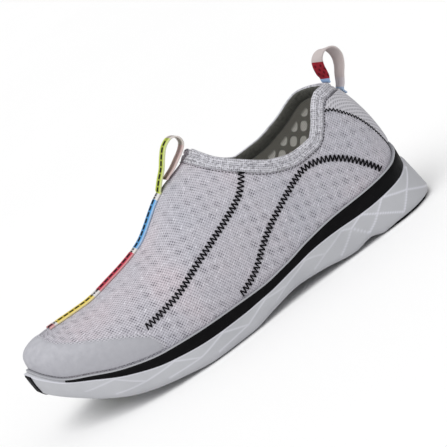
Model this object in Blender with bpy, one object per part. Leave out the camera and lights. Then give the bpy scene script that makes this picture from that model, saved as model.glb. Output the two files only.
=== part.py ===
"""Left slip-on water shoe, standing empty on its sole. Metres, +Z up, +X to the toe, +Y to the lateral side.

Lengths are measured from a zero just inside the heel's edge, in "last coordinates". The empty shoe_frame
then carries every piece, so that the model's origin lies on the floor at the centre of the heel's flat spot.
"""

import math
from collections import namedtuple

import bmesh
import bpy
from mathutils import Vector

MM = 0.001

# Driving sizes of the last and the upper
HEEL_REACH = 5.5 * MM  # from the zero of lengths to the upper's rearmost point
LAST_LENGTH = 279.0 * MM  # upper, heel to toe along the sole's rim
BALL_WIDTH = 95.0 * MM  # upper, across the ball at the rim
INSTEP_HEIGHT = 112.0 * MM  # floor to the crest at the throat
HEEL_HEIGHT = 90.0 * MM  # floor to the top of the wall at the heel, below the binding
UPPER_WALL = 2.0 * MM
THROAT_X = 130.0 * MM  # front end of the opening in the wall

# Driving sizes of the sole
RIM_HEIGHT = 32.0 * MM  # floor to the sole's rim beside the heel
DECK_HEIGHT = 22.0 * MM  # floor to the surface that the foot's board lies on, at the heel
TOE_SPRING = 30.0 * MM  # floor to the underside of the toe's tip
ARCH_RISE = 7.0 * MM
SOLE_FLARE = 5.0 * MM  # how far the sole stands out past the upper
RIM_WALL = 2.6 * MM
SIDE_STEP = 0.4 * MM  # how far the side stands out past the rim
EDGE_ROUND = 3.0 * MM
TIP_LEDGE = 2.0 * MM  # how much farther the sole's shoulder stands out at the toe's tip
TIP_LEDGE_START = 0.95  # share of LAST_LENGTH
FACET_DEPTH = 0.8 * MM
FACET_END = 0.95  # share of LAST_LENGTH where the side's facets fade out

# Driving sizes of the pieces that are laid on
GAP = 0.3 * MM  # between pieces that meet
OVERLAY_LIFT = 0.5 * MM  # overlays above the wall, whose facets differ
OVERLAY_THICKNESS = 0.9 * MM
BINDING_HEIGHT = 8.5 * MM
BINDING_RIB = 1.3 * MM
THROAT_EASE = 1.5 * MM  # how far the binding moves back at the throat, where the wall's edge turns tightly
THROAT_TURN = 8.0 * MM  # length over which it does
STRIPE_DEPTH = 1.4 * MM
STRIPE_PROUD = 0.25 * MM
STRIPE_HEIGHT = 10.0 * MM
STRIPE_END = 0.955  # share of LAST_LENGTH
LIP_HEIGHT = 0.9 * MM
TAPE_WIDTH = 10.0 * MM
TAPE_THICKNESS = 1.1 * MM
TAPE_FRONT = 0.935  # shares of LAST_LENGTH
TAPE_BACK = 0.530
LOOP_HEIGHT = 30.0 * MM
HEEL_LOOP_TWIST = math.radians(24)
INSOLE_THICKNESS = 4.0 * MM
INSOLE_INSET = 2.7 * MM
TREAD_DEPTH = 1.8 * MM
BAR_STEP = 9.0 * MM  # between the sections of a bar
SPINE_STEP = 0.3 * MM  # how much shallower the bars' spine is
CUT_REACH = 2.0 * MM  # how far cutters reach past the underside
END_CLEARANCE = 3.0 * MM  # sections of the tape and the cap keep this far from their ends
PAD_WIDTH = 9.0 * MM
HOLE_SCALE = 1.15
HOLE_DEPTH = 3.0 * MM
BADGE_LENGTH = 23.0 * MM
BADGE_WIDTH = 9.0 * MM
BADGE_THICKNESS = 1.2 * MM
BADGE_X = 104.0 * MM
REST_X = 32.0 * MM  # centre of the heel's flat spot, the model's origin

# Plan of the upper at the rim. x is a share of LAST_LENGTH, the others are shares of BALL_WIDTH.
Plan = namedtuple("Plan", "x centre lateral medial")
PLAN = (
    Plan(0.000, 0.000, 0.000, 0.000),
    Plan(0.022, 0.000, 0.212, 0.200),
    Plan(0.079, 0.000, 0.322, 0.311),
    Plan(0.187, 0.000, 0.372, 0.336),
    Plan(0.314, 0.000, 0.392, 0.316),
    Plan(0.420, 0.000, 0.415, 0.325),
    Plan(0.548, 0.000, 0.468, 0.400),
    Plan(0.656, 0.000, 0.498, 0.462),
    Plan(0.746, -0.020, 0.498, 0.470),
    Plan(0.854, -0.048, 0.432, 0.404),
    Plan(0.930, -0.074, 0.318, 0.290),
    Plan(0.980, -0.084, 0.169, 0.151),
    Plan(1.000, -0.084, 0.000, 0.000),
)

# Side of the sole. Rim heights are shares of RIM_HEIGHT, deck of DECK_HEIGHT, flares of SOLE_FLARE, stripe
# of STRIPE_HEIGHT; arch is a share of ARCH_RISE and spring of TOE_SPRING.
Side = namedtuple("Side", "x rim_lateral rim_medial deck flare stripe arch spring")
SIDE = (
    Side(0.000, 1.29, 1.29, 1.00, 1.95, 1.22, 0.00, 0.000),
    Side(0.015, 1.18, 1.18, 1.00, 1.75, 1.12, 0.00, 0.000),
    Side(0.050, 1.06, 1.07, 1.00, 1.35, 1.02, 0.00, 0.000),
    Side(0.150, 0.98, 1.03, 1.00, 1.00, 1.00, 0.00, 0.000),
    Side(0.190, 0.97, 1.03, 0.98, 0.95, 0.97, 0.42, 0.000),
    Side(0.240, 0.95, 1.02, 0.95, 0.85, 0.86, 0.12, 0.000),
    Side(0.330, 0.85, 0.97, 0.85, 0.80, 0.62, 0.60, 0.000),
    Side(0.400, 0.73, 0.86, 0.74, 0.80, 0.52, 0.80, 0.000),
    Side(0.480, 0.66, 0.74, 0.65, 0.85, 0.56, 0.42, 0.000),
    Side(0.560, 0.68, 0.72, 0.61, 1.00, 0.72, 0.00, 0.000),
    Side(0.660, 0.71, 0.73, 0.61, 1.00, 0.78, 0.00, 0.000),
    Side(0.750, 0.75, 0.77, 0.68, 0.95, 0.66, 0.00, 0.095),
    Side(0.840, 0.88, 0.89, 0.86, 0.85, 0.46, 0.00, 0.245),
    Side(0.905, 1.06, 1.06, 1.10, 0.80, 0.28, 0.00, 0.494),
    Side(0.955, 1.20, 1.20, 1.35, 0.80, 0.14, 0.00, 0.770),
    Side(0.985, 1.40, 1.40, 1.52, 0.82, 0.08, 0.00, 0.960),
    Side(1.000, 1.56, 1.56, 1.60, 0.85, 0.08, 0.00, 1.080),
)

# Crest of the upper, behind the throat the last's cone above the opening. height is a share of
# INSTEP_HEIGHT; width_power and height_power round the section, and lean is the crest's place across, as a
# share of BALL_WIDTH.
Crest = namedtuple("Crest", "x height width_power height_power lean")
CREST = (
    Crest(0.000, 1.12, 1.74, 1.00, 0.000),
    Crest(0.030, 1.12, 1.38, 1.00, 0.000),
    Crest(0.080, 1.12, 1.00, 1.00, 0.000),
    Crest(0.150, 1.12, 1.00, 1.00, 0.000),
    Crest(0.300, 1.14, 1.00, 1.00, -0.010),
    Crest(0.380, 1.04, 1.07, 1.00, -0.020),
    Crest(0.440, 0.958, 1.13, 1.00, -0.030),
    Crest(0.530, 0.876, 1.17, 0.98, -0.040),
    Crest(0.640, 0.684, 1.12, 0.95, -0.050),
    Crest(0.730, 0.617, 1.05, 0.92, -0.055),
    Crest(0.820, 0.576, 1.00, 0.90, -0.065),
    Crest(0.900, 0.574, 1.00, 0.90, -0.075),
    Crest(1.000, 0.580, 1.00, 0.90, -0.084),
)

# Top edge of the wall around the opening, as shares of HEEL_HEIGHT
Topline = namedtuple("Topline", "x lateral medial")
TOPLINE = (
    Topline(0.000, 1.000, 1.000),
    Topline(0.040, 1.035, 1.010),
    Topline(0.080, 1.040, 1.005),
    Topline(0.095, 1.020, 0.990),
    Topline(0.115, 0.970, 0.965),
    Topline(0.140, 0.890, 0.930),
    Topline(0.180, 0.800, 0.890),
    Topline(0.240, 0.785, 0.850),
    Topline(0.300, 0.835, 0.845),
    Topline(0.370, 0.975, 0.960),
    Topline(0.420, 1.110, 1.090),
    Topline(0.440, 1.192, 1.192),
)
TOPLINE_BLEND = 0.60  # share of the opening's length where the edge starts to follow the crest's height

# Upper edge of the toe cap: v is how far it goes from the rim (0) to the crest (1)
CapEdge = namedtuple("CapEdge", "x v")
TOE_CAP = (
    CapEdge(0.738, 0.050),
    CapEdge(0.764, 0.190),
    CapEdge(0.827, 0.340),
    CapEdge(0.897, 0.490),
    CapEdge(0.936, 0.610),
    CapEdge(0.989, 0.880),
    CapEdge(1.000, 0.900),
)

# Side edges of the heel tab, by height: x is v there, and reach how far forward, as a share of LAST_LENGTH
TabEdge = namedtuple("TabEdge", "x reach")
HEEL_TAB = (
    TabEdge(0.040, 0.008),
    TabEdge(0.380, 0.026),
    TabEdge(0.580, 0.043),
    TabEdge(0.770, 0.074),
    TabEdge(0.970, 0.108),
)

# Rubber bars in the forefoot's medial half. x is a share of LAST_LENGTH, y and width are of BALL_WIDTH.
BarPoint = namedtuple("BarPoint", "bar x y width")
BARS = (
    BarPoint("inner_bar", 0.720, -0.012, 0.050),
    BarPoint("inner_bar", 0.955, 0.010, 0.078),
    BarPoint("second_bar", 0.655, -0.160, 0.042),
    BarPoint("second_bar", 0.720, -0.212, 0.052),
    BarPoint("second_bar", 0.935, -0.240, 0.078),
    BarPoint("third_bar", 0.585, -0.245, 0.042),
    BarPoint("third_bar", 0.650, -0.330, 0.052),
    BarPoint("third_bar", 0.830, -0.430, 0.075),
    BarPoint("edge_bar", 0.525, -0.300, 0.042),
    BarPoint("edge_bar", 0.600, -0.405, 0.052),
    BarPoint("edge_bar", 0.672, -0.462, 0.060),
    BarPoint("spine", 0.770, -0.030, 0.055),
    BarPoint("spine", 0.590, -0.400, 0.048),
)

# Recesses in the underside, in rows: each row's ends, how many, and a recess's length at each end, its width
# and its depth. x0 and x1 are shares of LAST_LENGTH, depth of HOLE_DEPTH and the rest of BALL_WIDTH.
HoleRow = namedtuple("HoleRow", "x0 y0 x1 y1 count length0 length1 width depth")
HOLE_ROWS = (
    HoleRow(0.420, 0.330, 0.760, 0.285, 6, 0.070, 0.095, 0.060, 0.83),
    HoleRow(0.390, 0.230, 0.560, 0.240, 4, 0.055, 0.090, 0.060, 0.83),
    HoleRow(0.635, 0.180, 0.860, 0.095, 4, 0.110, 0.110, 0.075, 1.00),
    HoleRow(0.400, 0.140, 0.590, 0.065, 4, 0.065, 0.100, 0.065, 0.83),
    HoleRow(0.640, 0.025, 0.700, -0.080, 2, 0.110, 0.100, 0.075, 1.00),
    HoleRow(0.380, 0.030, 0.590, -0.100, 5, 0.060, 0.105, 0.070, 0.83),
    HoleRow(0.810, -0.115, 0.880, -0.120, 2, 0.110, 0.110, 0.075, 1.00),
    HoleRow(0.390, -0.110, 0.510, -0.195, 3, 0.060, 0.100, 0.065, 0.83),
    HoleRow(0.035, -0.130, 0.255, 0.020, 5, 0.140, 0.075, 0.095, 0.67),
    HoleRow(0.100, -0.235, 0.275, -0.085, 4, 0.130, 0.075, 0.090, 0.67),
    HoleRow(0.060, 0.090, 0.255, 0.150, 4, 0.140, 0.075, 0.090, 0.67),
)

# A recess's outline, as shares of half its length and half its width
HOLE_OUTLINE = ((1, 0.1), (0.35, 1), (-0.6, 0.8), (-1, -0.1), (-0.35, -1), (0.6, -0.8))

HEEL_SPINE_X = 0.20  # share of LAST_LENGTH where the heel's fan of sections meets
TOE_SPINE_X = 0.90  # the same for the toe's
SPINE_PULL = 0.30  # how much of a section's distance past there the spine still follows
QUARTER_BULGE = 2.0 * MM

REAR_STATIONS = 16
FRONT_STATIONS = 20
WALL_ROWS = 9

LATERAL, MEDIAL = 1.0, -1.0


def smooth(rows, name, at):
    """A named column of a table at that x, by cubic pieces that don't overshoot its rows."""
    keys = [row.x for row in rows]
    values = [getattr(row, name) for row in rows]
    if at <= keys[0]:
        return values[0]
    if at >= keys[-1]:
        return values[-1]
    i = next(k for k in range(len(keys) - 1) if at <= keys[k + 1])
    slopes = [
        (values[k + 1] - values[k]) / (keys[k + 1] - keys[k])
        for k in range(len(keys) - 1)
    ]

    def tangent(k):
        if k == 0 or k == len(keys) - 1:
            return slopes[0] if k == 0 else slopes[-1]
        a, b = slopes[k - 1], slopes[k]
        return 0.0 if a * b <= 0 else 2 * a * b / (a + b)

    span = keys[i + 1] - keys[i]
    s = (at - keys[i]) / span
    return (
        values[i] * (1 + 2 * s) * (1 - s) ** 2
        + tangent(i) * span * s * (1 - s) ** 2
        + values[i + 1] * s * s * (3 - 2 * s)
        + tangent(i + 1) * span * s * s * (s - 1)
    )


def round_share(share):
    """A share of the length as an even angle, so that widths taken over it close with round ends."""
    return math.acos(1 - 2 * min(max(share, 0.0), 1.0)) / math.pi


ROUND_PLAN = tuple(row._replace(x=round_share(row.x)) for row in PLAN)


def share_of(x):
    return (x - HEEL_REACH) / LAST_LENGTH


def x_of(share):
    return HEEL_REACH + share * LAST_LENGTH


def plan_point(side, x):
    """The upper's plan at the rim, at length x on one side."""
    share = round_share(share_of(x))
    half = smooth(ROUND_PLAN, "lateral" if side > 0 else "medial", share)
    return Vector((x, (smooth(ROUND_PLAN, "centre", share) + side * half) * BALL_WIDTH, 0.0))


def plan_normal(side, x):
    """Outward normal of the plan there."""
    step = 1e-3 * LAST_LENGTH
    start, end = x_of(0.0), x_of(1.0)
    if x - start < 1e-4 * LAST_LENGTH:
        return Vector((-1.0, 0.0, 0.0))
    if end - x < 1e-4 * LAST_LENGTH:
        return Vector((1.0, 0.0, 0.0))
    step = min(step, (x - start) / 2, (end - x) / 2)
    along = plan_point(side, x + step) - plan_point(side, x - step)
    return Vector((-along.y, along.x, 0.0)).normalized() * side


def side_value(name, x):
    return smooth(SIDE, name, share_of(x))


def rim_height(side, x):
    return side_value("rim_lateral" if side > 0 else "rim_medial", x) * RIM_HEIGHT


def deck_height(x):
    return side_value("deck", x) * DECK_HEIGHT


def floor_height(x):
    """Underside of the sole: flat at heel and ball, raised at the arch and the toe."""
    return side_value("arch", x) * ARCH_RISE + side_value("spring", x) * TOE_SPRING


def spine_point(x):
    """Where the section through x ends on the crest, and how high the crest is there."""
    share = share_of(x)
    if share < HEEL_SPINE_X:
        share = HEEL_SPINE_X + (share - HEEL_SPINE_X) * SPINE_PULL
    if share > TOE_SPINE_X:
        share = TOE_SPINE_X + (share - TOE_SPINE_X) * SPINE_PULL
    return Vector(
        (
            x_of(share),
            smooth(CREST, "lean", share) * BALL_WIDTH,
            smooth(CREST, "height", share) * INSTEP_HEIGHT,
        )
    )


def top_height(side, x):
    """Height of the wall's top edge behind the throat, where it comes up to the crest."""
    end = TOPLINE[-1]
    share = share_of(x) * end.x / share_of(THROAT_X)
    near = min(max((share / end.x - TOPLINE_BLEND) / (1 - TOPLINE_BLEND), 0.0), 1.0)
    meet = spine_point(THROAT_X).z / (end.lateral * HEEL_HEIGHT)
    height = smooth(TOPLINE, "lateral" if side > 0 else "medial", share) * HEEL_HEIGHT
    return height * (1 + (meet - 1) * near)


def top_angle(side, x, foot, crest):
    """How far round its quarter turn the section goes before the opening cuts it."""
    if x >= THROAT_X - 1e-9:
        return math.pi / 2
    top = top_height(side, x)
    power = smooth(CREST, "height_power", share_of(x))
    rise = min(max((top - foot) / (crest - foot), 0.0), 1.0)
    return math.asin(rise ** (1 / power))


def wall_point(side, x, v):
    """The wall's outer surface in the section through x: v is 0 at the rim and 1 at the crest or opening."""
    foot = plan_point(side, x)
    foot.z = rim_height(side, x)
    crest = spine_point(x)
    angle = top_angle(side, x, foot.z, crest.z) * v
    share = share_of(x)
    inward = 1 - max(math.cos(angle), 0.0) ** smooth(CREST, "width_power", share)
    upward = math.sin(angle) ** smooth(CREST, "height_power", share) if v > 0 else 0.0
    point = foot.lerp(crest, inward)
    point.z = foot.z + (crest.z - foot.z) * upward
    bulge = math.sin(2 * angle) ** 2 * math.sin(math.pi / 2 * min(share / HEEL_SPINE_X, 1.0))
    return point + plan_normal(side, x) * QUARTER_BULGE * bulge


def wall_normal(side, x, v):
    """Outward normal of the wall's outer surface."""
    low, high = x_of(0.0), x_of(1.0)
    step = 0.004 * LAST_LENGTH
    v0, v1 = max(v - 0.02, 0.0), min(v + 0.02, 1.0)
    up = wall_point(side, x, v1) - wall_point(side, x, v0)
    if x - low < 1e-6 or high - x < 1e-6:
        inner = min(max(x, low + step / 4), high - step / 4)
        across = wall_point(LATERAL, inner, v) - wall_point(MEDIAL, inner, v)
        return up.cross(across).normalized() * (1.0 if x - low < 1e-6 else -1.0)
    x0, x1 = max(x - step, low), min(x + step, high)
    along = wall_point(side, x1, v) - wall_point(side, x0, v)
    return up.cross(along).normalized() * side


def stations():
    """Lengths of the sections, closer together where the outline turns."""
    rear = [
        x_of(0.0) + (THROAT_X - x_of(0.0)) * (1 - math.cos(math.pi * i / REAR_STATIONS)) / 2
        for i in range(REAR_STATIONS)
    ]
    front = [
        THROAT_X + (x_of(1.0) - THROAT_X) * math.sin(math.pi / 2 * i / FRONT_STATIONS)
        for i in range(FRONT_STATIONS + 1)
    ]
    return rear + front


STATIONS = stations()


def around():
    """(side, x) of each column, from the heel along the lateral side to the toe and back."""
    lateral = [(LATERAL, x) for x in STATIONS]
    medial = [(MEDIAL, x) for x in reversed(STATIONS[1:-1])]
    return lateral + medial


COLUMNS = around()


def material(name, colour, roughness, metallic=0.0):
    made = bpy.data.materials.new(name)
    made.use_nodes = True
    shader = made.node_tree.nodes["Principled BSDF"]
    shader.inputs["Base Color"].default_value = (*colour, 1.0)
    shader.inputs["Roughness"].default_value = roughness
    shader.inputs["Metallic"].default_value = metallic
    return made


def add_object(name, points, faces, finish, smooth_angle=40):
    """A named object from points and faces, merged where they coincide and turned outwards."""
    mesh = bpy.data.meshes.new(name)
    mesh.from_pydata([tuple(p) for p in points], [], faces)
    shape = bmesh.new()
    shape.from_mesh(mesh)
    bmesh.ops.remove_doubles(shape, verts=shape.verts, dist=1e-6)
    bmesh.ops.recalc_face_normals(shape, faces=shape.faces)
    closed = all(edge.is_manifold for edge in shape.edges)
    if closed and shape.calc_volume(signed=True) < 0:
        bmesh.ops.reverse_faces(shape, faces=shape.faces)
    shape.to_mesh(mesh)
    shape.free()
    mesh.shade_smooth()
    mesh.set_sharp_from_angle(angle=math.radians(smooth_angle))
    made = bpy.data.objects.new(name, mesh)
    bpy.context.scene.collection.objects.link(made)
    made.parent = SHOE_FRAME
    if finish is not None:
        mesh.materials.append(finish)
    return made


def ring_faces(columns, rows, closed_rows=False):
    """Quads of a grid that closes round its columns, and round its rows too if asked."""
    faces = []
    for i in range(columns):
        for j in range(rows if closed_rows else rows - 1):
            a, b = i * rows + j, i * rows + (j + 1) % rows
            c, d = ((i + 1) % columns) * rows + (j + 1) % rows, ((i + 1) % columns) * rows + j
            faces.append((a, b, c, d))
    return faces


def strip_faces(columns, rows):
    """Quads of a closed-section loft that doesn't close on itself, with its two end caps."""
    faces = []
    for i in range(columns - 1):
        for j in range(rows):
            k = (j + 1) % rows
            faces.append((i * rows + j, i * rows + k, (i + 1) * rows + k, (i + 1) * rows + j))
    faces.append(tuple(reversed(range(rows))))
    faces.append(tuple((columns - 1) * rows + j for j in range(rows)))
    return faces


def across_faces(ring, rows, row):
    """Strips from the lateral columns to the medial ones, which close the ring at one row."""
    last = len(STATIONS) - 1
    faces = []

    def at(i):
        return (i % len(ring)) * rows + row

    for i in range(last):
        corners = [at(i), at(i + 1), at(-(i + 1)), at(-i)]
        faces.append(tuple(dict.fromkeys(corners)))
    return faces


def cut(target, tool):
    """Cuts the tool's shape out of the target, and keeps the tool out of the build."""
    tool.hide_render = True
    tool.display_type = "WIRE"
    modifier = target.modifiers.new("cut_" + tool.name, "BOOLEAN")
    modifier.operation = "DIFFERENCE"
    modifier.object = tool


def stripe_size(x):
    """Height and depth of the groove for the black stripe, which fades out at the toe."""
    height = side_value("stripe", x) * STRIPE_HEIGHT
    return height, STRIPE_DEPTH * min(1.0, height / (0.3 * STRIPE_HEIGHT))


def sole_profile(side, x, index):
    """Section of the sole at one column, from the deck's edge over the rim and down to the underside."""
    rim = rim_height(side, x)
    under = floor_height(x)
    flare = side_value("flare", x) * SOLE_FLARE
    height, depth = stripe_size(x)
    groove_top = rim - LIP_HEIGHT
    groove_low = groove_top - height
    shoulder = groove_low - LIP_HEIGHT
    wave = FACET_DEPTH * (1 if index % 2 else -1) * min(1.0, max(0.0, (FACET_END - share_of(x)) * 8))
    low = under + EDGE_ROUND * 1.6
    middle = (low + shoulder) / 2
    tip = max(share_of(x) - TIP_LEDGE_START, 0.0) / (1 - TIP_LEDGE_START)
    edge = RIM_WALL + SIDE_STEP + TIP_LEDGE * tip
    side_top = max(edge, flare * 0.50)
    return (
        (GAP, deck_height(x)),
        (GAP, rim),
        (RIM_WALL, rim),
        (RIM_WALL, groove_top),
        (RIM_WALL - depth, groove_top),
        (RIM_WALL - depth, groove_low),
        (edge, groove_low),
        (side_top, shoulder),
        ((side_top + flare) / 2 + wave, middle + wave),
        (flare - wave * 0.5, low),
        (flare - EDGE_ROUND * 0.8, under + EDGE_ROUND * 0.3),
        (flare - EDGE_ROUND * 2.0, under),
    )


def sole_point(side, x, offset, height):
    point = plan_point(side, x) + plan_normal(side, x) * offset
    point.z = height
    return point


def build_sole(finish):
    points = []
    rows = len(sole_profile(LATERAL, STATIONS[1], 0))
    for index, (side, x) in enumerate(COLUMNS):
        for offset, height in sole_profile(side, x, index):
            points.append(sole_point(side, x, offset, height))
    faces = ring_faces(len(COLUMNS), rows)
    faces += across_faces(COLUMNS, rows, 0)
    faces += across_faces(COLUMNS, rows, rows - 1)
    return add_object("sole", points, faces, finish, 12)


def build_stripe(finish):
    """The black band that lies in the sole's groove, round the heel and along both sides."""
    end = x_of(STRIPE_END)
    lateral = [(LATERAL, x) for x in STATIONS if x < end]
    medial = [(MEDIAL, x) for x in STATIONS[1:] if x < end]
    points = []
    for side, x in list(reversed(lateral)) + medial:
        height, depth = stripe_size(x)
        top = rim_height(side, x) - LIP_HEIGHT - GAP
        low = top - height + 2 * GAP
        inner = RIM_WALL - depth + GAP
        outer = RIM_WALL + STRIPE_PROUD
        for offset, level in ((inner, top), (inner, low), (outer, low), (outer, top)):
            points.append(sole_point(side, x, offset, level))
    return add_object("rand_stripe", points, strip_faces(len(points) // 4, 4), finish)


def build_upper(finish):
    """One wall from the deck to the crest, open at the collar and underneath."""
    points = []
    levels = [j / WALL_ROWS for j in range(WALL_ROWS + 1)]
    for side, x in COLUMNS:
        foot = plan_point(side, x)
        foot.z = deck_height(x) + GAP
        points.append(foot)
        points += [wall_point(side, x, v) for v in levels]
    made = add_object("upper", points, ring_faces(len(COLUMNS), len(levels) + 1), finish)
    thick = made.modifiers.new("wall", "SOLIDIFY")
    thick.thickness = UPPER_WALL
    thick.offset = -1.0
    thick.use_even_offset = True
    return made


def build_insole(finish):
    points = []
    for side, x in COLUMNS:
        low = deck_height(x) + GAP
        for offset, level in ((0.0, low), (0.0, low + INSOLE_THICKNESS)):
            points.append(sole_point(side, x, offset - INSOLE_INSET, level))
    faces = ring_faces(len(COLUMNS), 2)
    faces += across_faces(COLUMNS, 2, 0)
    faces += across_faces(COLUMNS, 2, 1)
    return add_object("insole", points, faces, finish)


def slab(name, grid, finish, lift=OVERLAY_LIFT, thickness=OVERLAY_THICKNESS):
    """A sheet of even thickness over a grid of (point, normal) columns."""
    columns, rows = len(grid), len(grid[0])
    points = [p + n * (lift + thickness) for column in grid for p, n in column]
    points += [p + n * lift for column in grid for p, n in column]
    under = columns * rows
    faces = []
    for i in range(columns - 1):
        for j in range(rows - 1):
            quad = (i * rows + j, (i + 1) * rows + j, (i + 1) * rows + j + 1, i * rows + j + 1)
            faces.append(quad)
            faces.append(tuple(under + k for k in reversed(quad)))
    border = [i * rows for i in range(columns)]
    border += [(columns - 1) * rows + j for j in range(1, rows)]
    border += [i * rows + rows - 1 for i in range(columns - 2, -1, -1)]
    border += [j for j in range(rows - 2, 0, -1)]
    for k, a in enumerate(border):
        b = border[(k + 1) % len(border)]
        faces.append((b, a, under + a, under + b))
    return add_object(name, points, faces, finish)


def build_toe_cap(finish):
    """The smooth cap over the toe, cut from the wall's own surface."""
    start = x_of(TOE_CAP[0].x)
    xs = [start] + [x for x in STATIONS if x > start + END_CLEARANCE]
    grid = []
    for side, x in [(LATERAL, x) for x in xs] + [(MEDIAL, x) for x in reversed(xs[:-1])]:
        top = smooth(TOE_CAP, "v", share_of(x))
        levels = [0.014 + (top - 0.014) * j / 5 for j in range(6)]
        grid.append([(wall_point(side, x, v), wall_normal(side, x, v)) for v in levels])
    return slab("toe_cap", grid, finish)


def build_heel_tab(finish):
    """The tab up the back of the heel, wide under the collar and narrow at the sole."""
    levels = [HEEL_TAB[0].x + (HEEL_TAB[-1].x - HEEL_TAB[0].x) * j / 7 for j in range(8)]
    grid = []
    for k in range(-8, 9):
        side = LATERAL if k >= 0 else MEDIAL
        column = []
        for v in levels:
            x = x_of(smooth(HEEL_TAB, "reach", v) * (k / 8) ** 2)
            column.append((wall_point(side, x, v), wall_normal(side, x, v)))
        grid.append(column)
    return slab("heel_tab", grid, finish, OVERLAY_LIFT * 2)


def collar_edge():
    """(point, outward normal, upward direction) round the top edge of the wall."""
    rear = [x for x in STATIONS if x < THROAT_X - 1e-9]
    order = [(LATERAL, x) for x in rear] + [(LATERAL, THROAT_X)]
    order += [(MEDIAL, x) for x in reversed(rear[1:])]
    edge = [wall_point(side, x, 1.0) for side, x in order]
    frames = []
    for i, (side, x) in enumerate(order):
        along = (edge[(i + 1) % len(edge)] - edge[i - 1]).normalized()
        face = wall_normal(side, x, 0.97)
        if x == THROAT_X:
            face += wall_normal(-side, x, 0.97)
        up = along.cross(face).normalized()
        ease = THROAT_EASE * max(0.0, 1 - (THROAT_X - x) / THROAT_TURN)
        frames.append((edge[i] + up * ease, up.cross(along).normalized(), up))
    return frames


# Section of the collar's binding: u is a share of BINDING_HEIGHT above the wall's edge, n is in shares of
# BINDING_RIB outwards from the wall's outer surface
BindingPoint = namedtuple("BindingPoint", "n u")
BINDING = (
    BindingPoint(0.60, 0.080),
    BindingPoint(1.00, 0.250),
    BindingPoint(0.35, 0.450),
    BindingPoint(1.00, 0.660),
    BindingPoint(0.60, 0.900),
    BindingPoint(-0.70, 1.000),
    BindingPoint(-2.00, 0.900),
    BindingPoint(-2.30, 0.500),
    BindingPoint(-2.00, 0.080),
)


def build_binding(finish):
    points = []
    frames = collar_edge()
    for at, out, up in frames:
        for spot in BINDING:
            points.append(at + out * spot.n * BINDING_RIB + up * spot.u * BINDING_HEIGHT)
    return add_object("collar_binding", points, ring_faces(len(frames), len(BINDING), True), finish)


def crest_section(x):
    """Five (point, normal) across the crest, as wide as the tape."""
    middle = wall_point(LATERAL, x, 1.0)
    spots = []
    places = ((LATERAL, 0.5), (LATERAL, 0.25), (LATERAL, 0.0), (MEDIAL, 0.25), (MEDIAL, 0.5))
    for side, reach in places:
        low, high = 0.0, 1.0
        for _ in range(18):
            v = (low + high) / 2
            if (wall_point(side, x, v) - middle).length > reach * TAPE_WIDTH:
                low = v
            else:
                high = v
        spots.append((wall_point(side, x, high), wall_normal(side, x, min(high, 0.985))))
    mean = (wall_normal(LATERAL, x, 0.985) + wall_normal(MEDIAL, x, 0.985)).normalized()
    spots[2] = (middle, mean)
    return spots


# Pull loops in the shoe's middle plane, as shares of LOOP_HEIGHT from their foot: forward x and up z of the
# tape's inner surface
LoopPoint = namedtuple("LoopPoint", "x z")
THROAT_LOOP = (
    LoopPoint(-0.17, 0.20),
    LoopPoint(-0.33, 0.37),
    LoopPoint(-0.47, 0.57),
    LoopPoint(-0.62, 0.75),
    LoopPoint(-0.80, 0.84),
    LoopPoint(-0.94, 0.79),
    LoopPoint(-0.97, 0.65),
    LoopPoint(-0.86, 0.52),
    LoopPoint(-0.68, 0.40),
    LoopPoint(-0.50, 0.29),
    LoopPoint(-0.34, 0.22),
    LoopPoint(-0.25, 0.18),
)
HEEL_LOOP = (
    LoopPoint(-0.337, -0.217),
    LoopPoint(-0.430, -0.033),
    LoopPoint(-0.537, 0.150),
    LoopPoint(-0.590, 0.333),
    LoopPoint(-0.550, 0.500),
    LoopPoint(-0.427, 0.587),
    LoopPoint(-0.287, 0.580),
    LoopPoint(-0.170, 0.493),
    LoopPoint(-0.120, 0.350),
    LoopPoint(-0.115, 0.200),
    LoopPoint(-0.122, 0.100),
)


def curve_through(spots, steps):
    """Points along a smooth curve through these, by Catmull and Rom's rule."""
    ends = [spots[0] * 2 - spots[1]] + spots + [spots[-1] * 2 - spots[-2]]
    found = []
    for i in range(1, len(ends) - 2):
        p0, p1, p2, p3 = ends[i - 1 : i + 3]
        for k in range(steps):
            t = k / steps
            found.append(
                (p1 * 2 + (p2 - p0) * t + (p0 * 2 - p1 * 5 + p2 * 4 - p3) * t * t
                 + (p1 * 3 - p0 - p2 * 3 + p3) * t ** 3) / 2
            )
    return found + [spots[-1]]


def band_sections(path, width, turn):
    """Five (point, normal) across a flat band along a path; turn gives its twist about the vertical."""
    sections = []
    for i, at in enumerate(path):
        along = (path[min(i + 1, len(path) - 1)] - path[max(i - 1, 0)]).normalized()
        across = Vector((-math.sin(turn(i)), math.cos(turn(i)), 0.0))
        across = (across - along * across.dot(along)).normalized()
        normal = across.cross(along).normalized()
        sections.append([(at + across * width * r, normal) for r in (0.5, 0.25, 0.0, -0.25, -0.5)])
    return sections


def band(name, sections, finish, lift):
    points = []
    for section in sections:
        points += [p + n * lift for p, n in section]
        points += [p + n * (lift + TAPE_THICKNESS) for p, n in reversed(section)]
    return add_object(name, points, strip_faces(len(sections), 10), finish)


def build_vamp_tape(finish):
    """The webbing from the toe up the crest, and on into the pull loop at the throat."""
    front, back = x_of(TAPE_FRONT), x_of(TAPE_BACK)
    low, high = back + END_CLEARANCE, front - END_CLEARANCE
    xs = [front] + [x for x in reversed(STATIONS) if low < x < high] + [back]
    sections = [crest_section(x) for x in xs]
    foot = wall_point(LATERAL, xs[-1], 1.0)
    spots = [foot + Vector((p.x, 0.0, p.z)) * LOOP_HEIGHT for p in THROAT_LOOP]
    path = curve_through([foot] + spots, 2)[1:]
    sections += band_sections(path, TAPE_WIDTH, lambda i: 0.0)
    return band("vamp_tape", sections, finish, OVERLAY_LIFT)


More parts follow.
